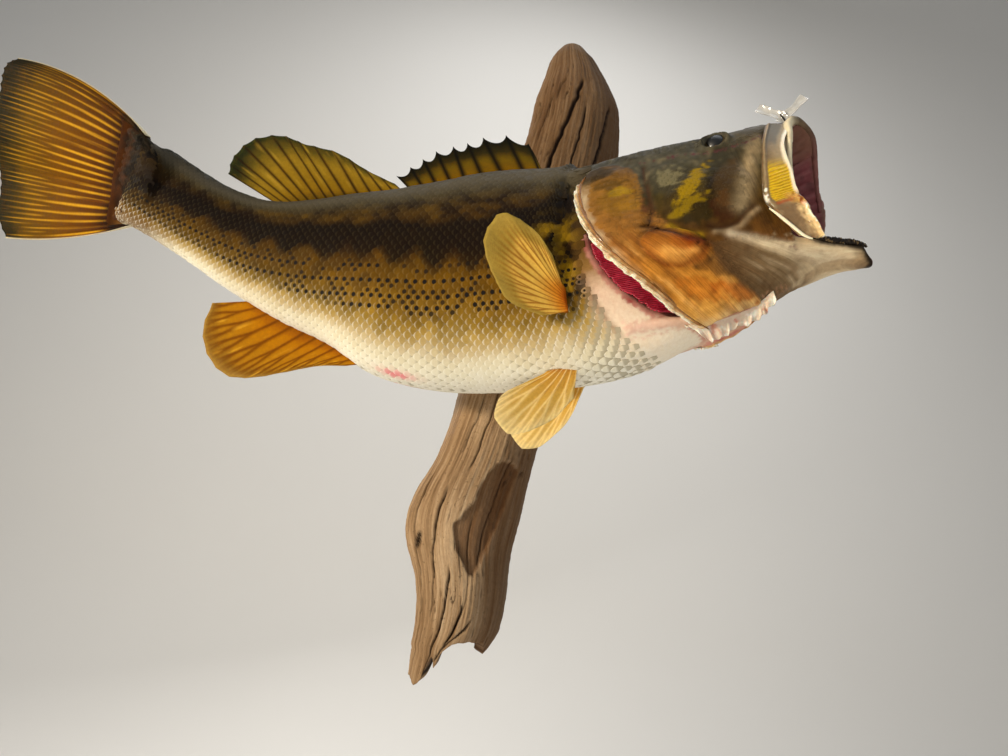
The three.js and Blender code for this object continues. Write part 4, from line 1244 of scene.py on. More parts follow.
headScales = [
    {"region": "cheek", "surface": lambda side: plateOf(cheekRows, side), "u": (0.06, 0.66),
     "v": (0.16, 0.80), "count": (18, 16), "long": 3.3, "tail": (-1, 0), "sheet": 0.3},
    {"region": "cover", "surface": lambda side: plateOf(coverRows, side), "u": (0.16, 0.95),
     "v": (0.10, 0.46), "count": (11, 15), "long": 4.4, "tail": (-1, 0), "sheet": 0.55},
    {"region": "crown", "surface": crownSurface, "u": (0.03, 0.22), "v": (0.10, 0.46), "count": (13, 17),
     "long": 3.3, "tail": (0, -1), "sheet": 0.8},
    {"region": "tailRoot", "surface": lambda side: lambda u, v: tailRootShape(u, v, 0.5), "u": (0.06, 0.94),
     "v": (0.12, 0.84), "count": (17, 12), "long": 4.4, "tail": (0, 1), "sheet": 0.1},
]


def makeScales(skinPiece):
    tree = BVHTree.FromObject(skinPiece, bpy.context.evaluated_depsgraph_get())
    material = scaleMaterial()
    dice = np.random.default_rng(7)
    for side, word in sides:
        scaleCoat("scales_" + word, "body_skin", bodyRoots(side, dice), tree, side, material)
        for patch in headScales:
            name = patch["region"] + "_scales_" + word
            scaleCoat(name, "head_skin", patchRoots(patch, side, dice), tree, side, material)


# Fins: thin webs with raised rays that fork towards the margin.

finRays = {
    "spiny": {"s": [8.97, 8.85, 8.45, 8, 7.6, 7.13, 6.75, 6.43, 6.15, 5.88],
              "long": [9, 33, 42, 41, 36, 34, 33, 28, 23, 19],
              "sweep": [24, 20, 24, 26, 23, 22, 30, 34, 39, 51]},
    "soft": {"s": [5.7, 5.25, 4.8, 4.38, 4, 3.65, 3.32, 3],
             "long": [12, 26, 42, 54, 64, 67, 58, 43], "sweep": [55, 48, 40, 44, 48, 58, 70, 80]},
    "anal": {"s": [5.7, 5.4, 5.05, 4.7, 4.35, 4, 3.65, 3.35],
             "long": [8, 20, 36, 51, 57, 53, 42, 25], "sweep": [72, 59, 50, 48, 46, 48, 55, 68]},
}
tailFin = {
    "pitch": -18, "yaw": 5, "roll": 24,
    "root": [31, 26, 18, 9, 0, -9, -18, -26, -31], "set": [-9, -6, -2, 0, 2, 4, 5, 6, 7],
    "long": [117, 124, 126, 124, 123, 122, 116, 109, 101], "fan": [3, 1, -2, -6, -9, -13, -17, -24, -31],
    "bow": [10, 8, 5, 2, 0, 0, -1, -3, -5],
}
pectoral = {
    "root": [[19, 40, -28], [22, 40, -43]],
    "tips": [[14, 49, -9], [6, 57, 3], [-5, 63, 11], [-16, 66, 13], [-24, 65, 1], [-23, 62, -14],
             [-18, 58, -27], [-10, 54, -40], [8, 46, -47]],
    "farSpread": 0,
}
pelvic = {
    "root": [[22, 13, -68], [6, 16, -70]],
    "tips": [[21, 17, -89], [13, 21, -100], [1, 25, -109], [-11, 27, -113], [-20, 28, -109],
             [-25, 27, -98], [-22, 24, -87], [-11, 19, -79]],
    "farSpread": -5,
}
finLooks = {  # rays, how deep the web dips between them, thicknesses, and the tone from root to margin
    "spiny": {"rays": 10, "forks": False, "dip": 0.17, "ray": 0.85, "web": 0.32, "rayWide": 0.16,
              "tone": {0.0: (88, 56, 10), 0.2: (106, 76, 14), 0.5: (84, 70, 18), 0.72: (40, 38, 18),
                       1.0: (18, 20, 14)}},
    "soft": {"rays": 14, "forks": False, "dip": 0.02, "ray": 0.62, "web": 0.28, "rayWide": 0.13,
             "tone": {0.0: (70, 50, 12), 0.2: (112, 86, 20), 0.62: (124, 100, 30), 0.84: (68, 64, 26),
                      1.0: (30, 36, 22)}},
    "anal": {"rays": 12, "forks": True, "dip": 0.015, "ray": 0.55, "web": 0.28, "rayWide": 0.13,
             "tone": {0.0: (122, 66, 4), 0.25: (156, 98, 10), 0.7: (152, 104, 20), 0.9: (122, 88, 30),
                      1.0: (140, 110, 54)}},
    "tail": {"rays": 22, "forks": True, "dip": 0.012, "ray": 0.75, "web": 0.32, "rayWide": 0.19,
             "tone": {0.0: (28, 16, 5), 0.16: (44, 24, 4), 0.30: (80, 46, 2), 0.55: (96, 62, 4),
                      0.78: (82, 60, 8), 0.9: (46, 40, 14), 1.0: (24, 26, 16)}},
    "pectoral": {"rays": 14, "forks": True, "dip": 0.012, "ray": 0.5, "web": 0.26, "rayWide": 0.13,
                 "tone": {0.0: (150, 68, 14), 0.12: (186, 116, 34), 0.35: (208, 162, 72),
                          0.64: (196, 154, 70), 0.76: (150, 122, 52), 1.0: (146, 122, 58)}},
    "pelvic": {"rays": 7, "forks": True, "dip": 0.02, "ray": 0.6, "web": 0.28, "rayWide": 0.12,
               "tone": {0.0: (160, 104, 46), 0.12: (176, 128, 52), 0.5: (178, 140, 66), 0.78: (178, 146, 82),
                        1.0: (184, 162, 116)}},
}


def forkedBy(away, share):
    return np.where(np.abs(away - share) < np.abs(away + share), away - share, away + share)


def rayAway(u, v, look):
    at = u * (look["rays"] - 1)
    away = at - np.round(at)
    if look["forks"]:
        away = forkedBy(forkedBy(away, 0.25 * smooth(0.35, 0.75, v)), 0.11 * smooth(0.68, 1.0, v))
    return np.abs(away)


def rayMask(u, v, look):
    return bell(rayAway(u, v, look), look["rayWide"] * (1 - 0.35 * smooth(0.4, 1.0, v)))


def medianSurface(rays, side):
    s, sweep = np.array(rays["s"], float), np.radians(rays["sweep"])
    forward, _, up = bodyFrame(s)[1]
    start = bodyPoint(s, 0.0 if side > 0 else pi) - up * 3 * side
    reach = (np.array(rays["long"], float) + 3)[:, None]
    end = start + up * side * reach * np.cos(sweep)[:, None] - forward * reach * np.sin(sweep)[:, None]
    return lambda u, v: along(start, u) + (along(end, u) - along(start, u)) * v[:, None]


def tailSurface():
    axes = frameAlong(forwardFrom(tailFin["pitch"], tailFin["yaw"]), tailFin["roll"])
    origin = np.array([body[key][0] for key in "xyz"], float)
    root, ahead, fan, reach = (np.array(tailFin[key], float) for key in ("root", "set", "fan", "long"))
    fan = np.radians(fan)
    start = place(origin, axes, ahead + 6, 0 * root, root * 0.97)
    end = place(origin, axes, ahead - reach * np.cos(fan), 4 * np.sin(root / 9), root + reach * np.sin(fan))

    def surface(u, v):
        low, high = along(start, u), along(end, u)
        wave = 1.6 * v * np.sin(u * 5 * pi)
        bow = 4 * v * (1 - v) * along(tailFin["bow"], u)
        return low + (high - low) * v[:, None] + axes[1] * wave[:, None] + axes[2] * bow[:, None]

    return surface


def pairedSurface(fin, side):
    origin, axes = bodyFrame(9.0)

    def surface(u, v):
        start, end = along(fin["root"], u), along(fin["tips"], u)
        a, l, h = (start + (end - start) * v[:, None]).T
        out = fin["farSpread"] * v * (side < 0)
        wave = 0.8 * v * np.sin(u * (len(fin["tips"]) - 1) * pi)
        return place(origin, axes, a + out, side * (l + wave + out), h - out)

    return surface


def finShape(surface, look, rootThick):
    def middle(u, v):
        dip = look["dip"] * np.abs(np.sin(pi * u * (look["rays"] - 1))) ** 0.7 * smooth(0.3, 1.0, v)
        return surface(u, v * (1 - dip))

    def shape(u, v, w):
        ray = look["ray"] * rayMask(u, v, look) * (1 - 0.62 * v)
        thick = (look["web"] + ray + rootThick * smooth(0.2, 0.0, v)) * (1 - 0.5 * smooth(0.93, 1.0, v))
        wrinkle = 0.35 * ripple(u * 30, v * 9, 3) * smooth(0.3, 1, v)
        return raised(middle, u, v, toViewer, thick * (0.5 - w) + wrinkle)

    return shape


def tailLayers(look, points, coarse, streak, u, v):
    # Painted light on the tail: shade over the upper rays, and light shining through the webs between the
    # rays.
    shade = smooth(0.34, 0.0, u + 0.1 * coarse)
    widest = 0.5 - 0.25 * smooth(0.35, 0.75, v) - 0.11 * smooth(0.68, 1.0, v)
    gap = smooth(0.45, 0.92, rayAway(u, v, look) / widest) * smooth(0.14, 0.30, v) * smooth(1.02, 0.85, v)
    lit = (0.85 - 0.35 * shade - 0.25 * smooth(0.4, 0.8, v)) * smooth(-0.35, 0.2, streak)
    corner = smooth(0.74, 0.94, v + 0.15 * coarse) * smooth(0.42, 0.05, u)
    base = smooth(0.45, 0.58, cloudNoise(points, 6, 2, 9)) * smooth(0.36, 0.05, v)
    rim = smooth(0.012, 0.004, u) + smooth(0.990, 0.997, u)
    return [((46, 34, 8), 0.6 * shade), ((196, 146, 34), gap * lit), ((24, 25, 18), 0.9 * corner),
            ((20, 12, 4), base * 0.9), ((206, 196, 166), 0.7 * rim)]


def finTones(kind, u, v, points):
    look = finLooks[kind]
    ray = rayMask(u, v, look)
    coarse, streak = cloudNoise(points, 9, 3, 21) - 0.5, ripple(u * 60, v * 5, 5)
    # Streaks of the web: bright gold on the anal fin, a painted glow of light through it; darker orange
    # streaks on the pelvic fins.
    glow = smooth(0.1, 0.4, streak)
    layers = {
        "spiny": [((16, 15, 10), 0.95 * ray * smooth(0.02, 0.2, v))],
        "soft": [((168, 140, 52), 0.4 * smooth(0.05, 0.4, streak) * smooth(0.2, 0.4, v)),
                 ((34, 20, 6), 0.9 * ray * smooth(1.1, 0.8, v))],
        "anal": [((96, 52, 2), 0.85 * ray * smooth(1.05, 0.75, v)),
                 ((222, 168, 50), 0.45 * glow * smooth(0.25, 0.5, v))],
        "tail": tailLayers(look, points, coarse, streak, u, v),
        "pectoral": [((118, 64, 10), 0.8 * ray * smooth(0.95, 0.6, v))],
        "pelvic": [((230, 202, 138), 0.6 * ray), ((150, 98, 30), 0.55 * glow * smooth(1, 0.6, v))],
    }
    edge = v + 0.16 * coarse + (0.16 * smooth(0.6, 1.0, u) if kind == "soft" else 0)
    return painted(colourAlong(look["tone"], edge), *layers[kind])


def finMaterial():
    bench = Bench("finWeb")
    fleck = bench.noise(520, 3, 0.6)
    tone = bench.flecked(0.6, bench.tint(), fleck, (0.30, 0.29, 0.26), (0.74, 0.73, 0.70))
    joints = (bench.value("v") * 260.0).sine() * bench.value("ray")
    height = joints * 0.12 + bench.noise(800, 2) * 0.7
    # The faint emission of the fin's own tone is a painted glow, standing in for light shining through the
    # thin webs.
    return bench.surface({
        "Base Color": tone, "Roughness": bench.between(fleck, 0.3, 0.7, 0.62, 0.78),
        "Normal": bench.bump(height, 0.00025, 0.8), "Specular IOR Level": 0.06,
        "Emission Color": tone, "Emission Strength": 0.12, **scattering(0.15, 0.62, 0.2, 0.003),
    })


def makeFin(name, kind, slot, surface, across, down, rootThick, material):
    form = bentForm(gridForm(across, down, True), finShape(surface, finLooks[kind], rootThick), False)
    tonesOf = lambda u, v, points: finTones(kind, u, v, points)
    piece = madePiece(name, form, material, tonesOf, slot, name)
    writeValues(piece.data, ray=rayMask(*readValues(piece.data, "u", "v"), finLooks[kind]))


def makeFins():
    fins = [  # name, kind, slot, surface, faces across and down, and thickness at the root
        ("dorsal_fin_spiny", "spiny", "dark_fin", medianSurface(finRays["spiny"], 1), 144, 22, 1.4),
        ("dorsal_fin_soft", "soft", "dark_fin", medianSurface(finRays["soft"], 1), 168, 26, 1.4),
        ("anal_fin", "anal", "fin", medianSurface(finRays["anal"], -1), 160, 26, 1.6),
        ("tail_fin", "tail", "fin", tailSurface(), 220, 44, 4.5),
    ]
    for side, word in sides:
        fins += [("pectoral_fin_" + word, "pectoral", "fin", pairedSurface(pectoral, side), 170, 26, 2.2),
                 ("pelvic_fin_" + word, "pelvic", "fin", pairedSurface(pelvic, side), 110, 26, 3.0)]
    material = finMaterial()
    for fin in fins:
        makeFin(*fin, material)


# Driftwood: a weathered trunk with grain, cracks, a peeled hollow, a knot slit and an open lower end.

wood = {
    "z": [-286, -272, -250, -225, -195, -172, -140, -105, -60, 0, 60, 115, 150, 180, 205, 228, 243, 249],
    "mid": [-3, 4, 9, 7, -1, -1, 4, 8, 12, 17, 20, 21, 21, 19, 15, 9, 6, 5],
    "half": [4, 20, 27, 31, 37, 38, 34, 33, 36, 40, 41, 40, 38, 36, 29, 21, 13, 5],
    "deep": [44, 52, 57, 60, 64, 66, 67, 68, 70, 72, 70, 66, 62, 57, 50, 42, 32, 22],
    "lowRight": [-1, -0.75, -0.5, -0.25, 0.05, 0.4, 0.75, 0.95, 1],
    "lowEdge": [-283, -289, -285, -270, -259, -255, -255, -261, -257],
    "hollowShare": 0.10,
    "hollowTop": -243,
    "around": 190,
    "along": 500,
    "frontShare": 0.55,
    "tone": {0.0: (92, 69, 48), 0.35: (134, 107, 78), 0.65: (166, 138, 106), 1.0: (190, 165, 134)},
}
woodCracks = [  # heights, turns around the trunk, depth and width
    ([-284, -262, -240, -212], [2.15, 2.02, 1.95, 1.78], 3.2, 0.035),
    ([-262, -247, -232], [1.72, 1.60, 1.50], 4.0, 0.040),
    ([-246, -215, -184, -160], [2.30, 2.16, 2.02, 2.0], 2.4, 0.030),
    ([-274, -258, -248, -240], [1.95, 1.62, 1.36, 1.24], 3.0, 0.040),
    ([-232, -205, -176, -150], [2.62, 2.58, 2.52, 2.5], 2.0, 0.030),
    ([-212, -188, -160, -128], [1.18, 1.12, 1.04, 0.98], 1.6, 0.022),
    ([-150, -110, -70, -30], [1.75, 1.72, 1.70, 1.72], 1.5, 0.022),
    ([-140, -115, -92], [2.05, 2.0, 1.98], 1.6, 0.026),
    ([70, 110, 150, 190], [2.05, 1.92, 1.76, 1.55], 3.4, 0.060),
    ([60, 100, 140, 172], [1.15, 1.08, 0.98, 0.85], 3.0, 0.050),
    ([90, 125, 160], [1.55, 1.50, 1.44], 2.0, 0.030),
    ([120, 150, 175], [2.42, 2.34, 2.22], 1.6, 0.030),
]


def woodTurn(u):
    return (u - wood["frontShare"] * np.sin(2 * pi * (u - 0.5)) / (2 * pi)) * 2 * pi - pi / 2


def peeledShare(turn, x, z):
    rag = 9 * (cloudNoise(sheet(0 * x, z), 7, 3, 37) - 0.5)
    ragTop = 14 * (cloudNoise(sheet(x), 5, 2, 38) - 0.5)
    leftEdge = np.interp(z, [-216, -205, -186, -170, -156, -140], [8, 2, -7, 3, 6, 13]) + rag
    rightEdge = np.interp(z, [-216, -200, -175, -140], [11, 17, 22, 27]) + 0.4 * rag
    inside = smooth(leftEdge - 0.3, leftEdge + 0.4, x) * smooth(rightEdge + 2, rightEdge, x)
    inside *= smooth(-216 + ragTop, -215 + ragTop, z) * smooth(-139 + ragTop, -140 + ragTop, z)
    return inside * (np.sin(turn) > 0.1)


def woodRelief(turn, z, points):
    grain = sheet(turn * 30 + 0.02 * z, z * 0.035)
    fine = sheet(turn * 75 + 0.03 * z, z * 0.05)
    rise = 2.6 * (cloudNoise(points * np.array([1, 1, 0.35]), 26, 2, 31) - 0.5)
    rise += 0.6 * (1 - 2 * np.abs(valueNoise(grain, 4.0, 32) - 0.5)) - 0.4
    rise += 0.7 * (valueNoise(grain, 1.6, 33) - 0.5)
    rise += 0.5 * (valueNoise(fine, 1.2, 34) - 0.5)
    rise += 0.7 * (cloudNoise(points, 3.0, 2, 35) - 0.5)
    seam = np.abs(ripple(turn * 9 + 0.004 * z, z * 0.012, 39))
    split = smooth(0.020, 0.004, seam) * smooth(0.42, 0.6, valueNoise(points, 24, 40))
    rise -= 0.8 * split
    deepest = 0.8 * split
    wander = 0.05 * (valueNoise(sheet(z), 7, 36) - 0.5)
    for heights, turns, deep, wide in woodCracks:
        line = np.interp(z, heights, turns) + wander
        ends = smooth(heights[0] - 2, heights[0] + 8, z) * smooth(heights[-1] + 2, heights[-1] - 12, z)
        deepest = np.maximum(deepest, bell(turn - line, 0.55 * wide) * ends * deep)
    x, front = points[:, 0], np.sin(turn) > 0
    inside = peeledShare(turn, x, z)
    slit = np.exp(-(((x + 27.5) / 1.7) ** 2 + ((z + 199) / 5.0) ** 2) ** 2) * front
    dent = np.exp(-((x + 20) / 9) ** 2 - ((z + 198) / 16) ** 2) * front
    return rise - deepest - 2.2 * inside - 2.2 * slit - 2.0 * dent, deepest, inside, slit


def woodShape(u, v, w):
    turn = woodTurn(u)
    right, front = np.cos(turn), np.sin(turn)
    inner = np.clip(1 - v / wood["hollowShare"], 0, 1)
    outer = np.clip((v - wood["hollowShare"]) / (1 - wood["hollowShare"]), 0, 1)
    rough = smooth(-0.98, -0.8, front)
    rag = 5 * (cloudNoise(sheet(turn * 6), 1.6, 3, 41) - 0.5) * rough
    low = np.interp(right, wood["lowRight"], wood["lowEdge"]) + rag + 7 * smooth(0.2, -0.5, front)
    low += smooth(0.0, 0.3, front) * (10 * bell(right + 0.44, 0.12) - 6 * bell(right + 0.27, 0.05))
    z = low + (wood["z"][-1] - low) * outer
    near = smooth(-236, -268, z)

    def measure(key):  # kept nearly full at the open lower end
        found, bottom = lookup(wood["z"], wood[key], z), lookup(wood["z"], wood[key], np.full_like(z, -262))
        return found + (np.maximum(bottom * 0.92, found) - found) * near

    mid, half, deep = measure("mid"), measure("half"), measure("deep")
    ring = np.stack([mid + half * right, -0.44 * deep - 0.56 * deep * front, z], axis=1)
    rise = woodRelief(turn, z, ring)[0] * smooth(0.0, 0.02, outer) * smooth(1.0, 0.96, outer) * rough
    points = ring + sheet(right, -front) * rise[:, None]
    shrink = (1 - 0.30 * smooth(0, 0.25, inner)) * (1 - smooth(0.35, 1.0, inner))
    centre = np.stack([mid + 2, -0.46 * deep, z], axis=1)
    hollow = centre + (points - centre) * shrink[:, None]
    hollow[:, 2] = z + (wood["hollowTop"] - z) * inner ** 1.3
    points = masked(inner > 0, hollow, points)
    tip = np.array([wood["mid"][-1], -0.44 * wood["deep"][-1] - 2, wood["z"][-1]], float)
    points = points + (tip - points) * (smooth(0.992, 1.0, outer) ** 2)[:, None]
    points[:, 1] = np.minimum(points[:, 1], 0)
    return points


def woodMaterial():
    bench = Bench("driftwoodGrain")
    turned = bench.flat(bench.value("turn") * 0.9, bench.value("rise"))
    fibre = bench.noise(26, 5, 0.62, bench.stretched(turned, (1.6, 0.9, 1)))
    hair = bench.noise(90, 3, 0.6, bench.stretched(turned, (2.2, 0.5, 1)))
    tone = bench.flecked(0.6, bench.tint(), fibre, (0.22, 0.20, 0.17), (0.80, 0.79, 0.77))
    tone = bench.flecked(0.5, tone, hair, (0.28, 0.26, 0.23), (0.72, 0.72, 0.72))
    tone = bench.mix(bench.between(bench.noise(420, 2), 0.62, 0.72) * 0.45, tone, (0.10, 0.06, 0.03))
    height = fibre * 0.6 + hair * 0.5 + bench.noise(600, 2) * 0.25
    return bench.surface({"Base Color": tone, "Roughness": bench.between(fibre, 0.2, 0.8, 0.62, 0.82),
                          "Normal": bench.bump(height, 0.0013, 0.9), "Specular IOR Level": 0.1})


def woodTones(u, v, points):
    turn, z = woodTurn(u), points[:, 2]
    _, cracks, inside, slit = woodRelief(turn, z, points)
    coarse = cloudNoise(points * np.array([1, 1, 0.4]), 30, 3, 51) - 0.5
    grain = 0.6 * ripple(turn * 20, z * 0.03, 52) + 0.5 * ripple(turn * 60, z * 0.05, 53)
    return painted(
        colourAlong(wood["tone"], 0.55 + 0.9 * coarse + grain),
        ((94, 64, 40), 0.72 * inside),
        # painted shade on the right side of the trunk, away from the light
        ((84, 52, 26), 0.65 * smooth(0.15, 0.75, np.cos(turn))),
        # darker towards the top: painted shade
        ((98, 70, 44), 0.6 * smooth(0, 120, z)),
        ((128, 104, 82), 0.5 * smooth(40, 200, z) * smooth(0.0, 0.3, coarse)),
        # dark down the cracks: partly darker wood, partly painted shade in the crevices
        ((34, 21, 12), np.clip(cracks / 1.6, 0, 0.95)),
        # painted shadow filling the knot slit, which is cut only shallow
        ((20, 12, 8), np.clip(slit * 1.6, 0, 1)),
        # painted shade inside the hollow of the open lower end
        ((30, 19, 12), smooth(0.02, 0.5, np.clip(1 - v / wood["hollowShare"], 0, 1))),
    )


def makeWood():
    form = bentForm(gridForm(wood["around"], wood["along"]), woodShape)
    piece = madePiece("driftwood_trunk", form, woodMaterial(), woodTones, "wood", "driftwood")
    turn = woodTurn(readValues(piece.data, "u")[0])
    writeValues(piece.data, turn=turn, rise=meshPoints(piece.data)[:, 2] * 12)


# Smaller pieces of the head: eyes, upper jaw bones, mouth, gills, membranes, tongue and tape.

mouthPath = [[97, 24, 2], [100, 22, 18], [104, 17.5, 35], [107, 11, 48], [114, 0, 55], [117.8, -11, 48],
             [114.8, -17.5, 35], [112, -22, 19], [111.5, -25, 4], [107, -26, -9], [99, -27, -26]]
gill = {"top": 30, "bottom": -52, "depth": 20, "layers": 3, "filaments": 64}
jawRim = [[94, 23.2, -36.6], [101, 19.8, -39], [107, 15.6, -40.6], [113, 11, -41.4], [118, 7.6, -42.4],
          [121.4, 2, -43]]
foldPath = [[80.5, 32, -17], [84, 31.2, -23], [88, 29.2, -30], [92.4, 26.4, -37], [96, 24.5, -40]]
pinPath = [[104.6, 4.6, 62], [105.6, 5.2, 57], [106.2, 5.4, 52], [106.6, 5.0, 47]]
tornRows = [
    [[14, 20, -58], [28, 14, -61], [44, 9, -61], [58, 7, -58], [69, 7, -53]],
    [[19, 16, -62], [30, 8, -71], [42, 5, -68], [57, 4, -66], [69, 6, -60]],
]
tape = {
    "arms": [[[94, 4, 73], [100, 4, 66], [106, 4, 59]], [[105, 4, 58], [113, 4, 62], [121, 4, 67]],
             [[103, 4, 60], [107, 4.5, 56], [110, 5, 52]]],
    "half": 3.2,
    "thick": 1.0,
}
pieceTones = {
    "maxilla": {0.0: (84, 68, 46), 0.06: (116, 96, 68), 0.12: (150, 130, 98), 0.18: (132, 110, 78),
                0.26: (112, 94, 72), 0.45: (138, 118, 88), 0.8: (158, 136, 98), 0.9: (236, 226, 204),
                1.0: (240, 228, 200)},
    "mouth": {0.0: (140, 106, 92), 0.06: (138, 76, 78), 0.3: (132, 70, 74), 0.7: (112, 60, 66),
              1.0: (76, 38, 42)},
    "gill": {0.0: (70, 4, 16), 0.5: (132, 16, 40), 1.0: (184, 52, 74)},
    "membrane": {0.0: (124, 82, 36), 0.35: (150, 108, 58), 0.6: (190, 160, 118), 0.85: (228, 212, 182),
                 1.0: (240, 230, 208)},
}


def wave(turns):
    return np.sin(2 * pi * turns)


def ragOf(at, size, octaves, seed, across=0):  # noise about zero along an edge
    return cloudNoise(sheet(at, across), size, octaves, seed) - 0.5


def wetMaterial(name, roughness, grain, distance, shine=0.3, scatter=0.15):
    bench = Bench(name)
    fleck = bench.noise(grain, 3, 0.6)
    tone = bench.flecked(0.6, bench.tint(), fleck, (0.30, 0.29, 0.27), (0.74, 0.73, 0.70))
    height = fleck * 0.6 + bench.noise(grain * 2.5, 2) * 0.4
    return bench.surface({
        "Base Color": tone, "Roughness": bench.between(fleck, 0.3, 0.7, roughness - 0.06, roughness + 0.10),
        "Normal": bench.bump(height, distance, 0.7), "Coat Weight": shine * 0.5, "Coat Roughness": 0.15,
        "Specular IOR Level": 0.2, **scattering(scatter),
    })


def eyeMaterial():
    bench = Bench("bassEye")
    gaze = bench.value("gaze")
    tone = bench.mix(bench.noise(700, 3, 0.6), (0.040, 0.028, 0.016), (0.13, 0.10, 0.06))
    tone = bench.mix(bench.between(gaze, 0.76, 0.78), tone, (0.10, 0.062, 0.016))
    tone = bench.mix(bench.between(gaze, 0.80, 0.83), tone, (0.0015, 0.0015, 0.0015))
    return bench.surface({"Base Color": tone, "Roughness": 0.45, "Coat Weight": 0.25, "Coat Roughness": 0.15})


def makeEyes():
    material = eyeMaterial()
    for side, word in sides:
        form = bmesh.new()
        bmesh.ops.create_uvsphere(form, u_segments=48, v_segments=32, radius=1.0)
        around = np.array([vert.co[:] for vert in form.verts])
        centre = headPoint(eye["a"], side * eye["l"], eye["h"])
        for vert, offset in zip(form.verts, around):
            vert.co = (centre + offset * eye["radius"]) * mm
        piece = objectFrom("eye_" + word, form, material)
        look = unit(headAxes[1] * side + 0.22 * headAxes[2] + 0.05 * headAxes[0])
        writeValues(piece.data, gaze=around @ look)
        finished(piece, "eye", "eye_" + word)


def maxillaTones(u, v, points):
    coarse, fine = cloudsOf(points, (6, 3, 61), (2.2, 2, 62))
    across = u + 0.10 * coarse
    top = smooth(0.28, 0.14, v + 0.1 * coarse) * smooth(0.78, 0.6, across) * smooth(0.12, 0.2, across)
    ribs = smooth(0.0, 0.9, wave(v * 38 + 1.6 * u + 1.5 * coarse))
    # The yellow patch is painted light shining through the thin web from behind, banded by its ribs; the
    # glint streak is a painted highlight.
    backlitYellow = smooth(0.20, 0.28, across) * smooth(0.95, 0.86, across)
    backlitYellow = backlitYellow * smooth(0.28, 0.38, v) * smooth(0.71, 0.65, v)
    glint = smooth(0.20, 0.08, np.abs(u - 0.1) * 2) * smooth(0.42, 0.52, v) * smooth(0.68, 0.60, v)
    lumps = smooth(0.56, 0.66, v + 0.05 * coarse) * smooth(0.5, 0.75, u)
    red = bell(v - 0.71, 0.025) * smooth(0.15, 0.3, u) * smooth(0.85, 0.6, u)
    web = painted((128, 104, 76),
                  ((184, 158, 118), smooth(-0.1, 0.3, coarse)),
                  ((222, 190, 136), smooth(0.62, 0.85, u + 0.3 * fine)),
                  ((250, 240, 214), bell(u - 0.93, 0.05) * smooth(-0.2, 0.1, fine)),
                  ((186, 104, 48), 0.7 * smooth(0.82, 0.74, v) * smooth(0.0, 0.3, fine + coarse)))
    return painted(colourAlong(pieceTones["maxilla"], across),
                   ((88, 80, 62), 0.8 * top),
                   (blend((212, 174, 34), (140, 104, 14), 0.6 * ribs), backlitYellow),
                   ((250, 246, 234), 0.9 * smooth(-0.05, 0.2, fine) * glint),
                   (blend((206, 158, 84), (140, 80, 34), smooth(0.02, 0.3, fine)), lumps),
                   ((168, 84, 40), 0.75 * red),
                   (web, smooth(0.73, 0.78, v)))


def farMaxillaTones(u, v, points):
    coarse, fine = cloudsOf(points, (6, 3, 61), (2.2, 2, 62))
    return blend((124, 66, 70), (176, 122, 112), smooth(0.0, 0.3, coarse + fine))


def maxillaShape(side, reach):
    surface = plateOf(maxillaRows, side, reach)

    def shape(u, v, w):
        lumps = smooth(0.52, 0.62, v) * smooth(1.0, 0.9, v)
        wide = u * (1 + 0.16 * ragOf(v * 60, 4.0, 3, 63) * lumps * u)
        ribs = wave(v * 38 + 1.6 * u) * smooth(0.2, 0.3, u) * smooth(0.92, 0.82, u)
        rise = 0.35 * (bell(u - 0.17, 0.07) * smooth(0.8, 0.68, v)) + 0.8 * smooth(0.84, 0.98, u)
        rise = rise + 0.2 * ribs * smooth(0.3, 0.42, v) * smooth(0.72, 0.66, v)
        rise += (1.5 * bell(u - 0.93, 0.07) - 1.0 * smooth(0.8, 0.5, u)) * smooth(0.74, 0.84, v)
        rise += 3.0 * (ragOf(u * 12, 2.4, 3, 64, v * 60) + 0.05) * lumps * smooth(0.5, 0.75, u)
        rise += 0.25 * bell(u - 0.12, 0.06) - 1.2 * smooth(0.10, 0.0, u)
        return raised(surface, wide, v, headAxes[1] * side, rise * (1 - w) - 1.7 * w)

    return shape


def makeMaxillae():
    material = wetMaterial("jawBone", 0.34, 420, 0.0003, 0.5, 0.25)
    for (side, word), reach, tonesOf in zip(sides, (0, lip["farReach"]), (maxillaTones, farMaxillaTones)):
        form = bentForm(gridForm(64, 190, True), maxillaShape(side, reach), False)
        madePiece("maxilla_" + word, form, material, tonesOf, "lip_bone", "maxilla_" + word)


def tubeForm(path, radius, around, down, rag=0.0):
    def shape(u, v, w):
        ahead = heading(lambda at: along(path, at), v, 0.01)
        side = unit(np.cross(ahead, np.array([0.0, 0.0, 1.0])))
        uneven = 1 + rag * ragOf(v * 90, 1.6, 2, 91, u * 5)
        size = (radius * uneven * np.sin(pi * np.clip(0.06 + 0.88 * v, 0, 1)) ** 0.5)[:, None]
        turn = (2 * pi * u)[:, None]
        point = along(path, v) + side * size * np.cos(turn) + np.cross(side, ahead) * size * np.sin(turn)
        return headPoint(*point.T)

    return bentForm(gridForm(around, down), shape)


def mouthShape(u, v, w):
    rim = along(mouthPath, u)
    inner = np.stack([58 + 0 * u, rim[:, 1] * 0.9, rim[:, 2] * 0.62 + 1], axis=1)
    folds = 0.9 * np.sin(2 * pi * u * 21 + 3 * v) * smooth(0.02, 0.2, v)
    point = rim + (inner - rim) * v[:, None]
    point[:, 1] += np.where(rim[:, 1] < 0, 1, -1) * (1.4 * w + folds * 0.6)
    point[:, 2] -= 1.4 * w * (np.abs(rim[:, 1]) < 16)
    point[:, 0] += (1 - v) * ragOf(u * 90, 2.2, 2, 65) * 2.4
    return headPoint(*point.T)


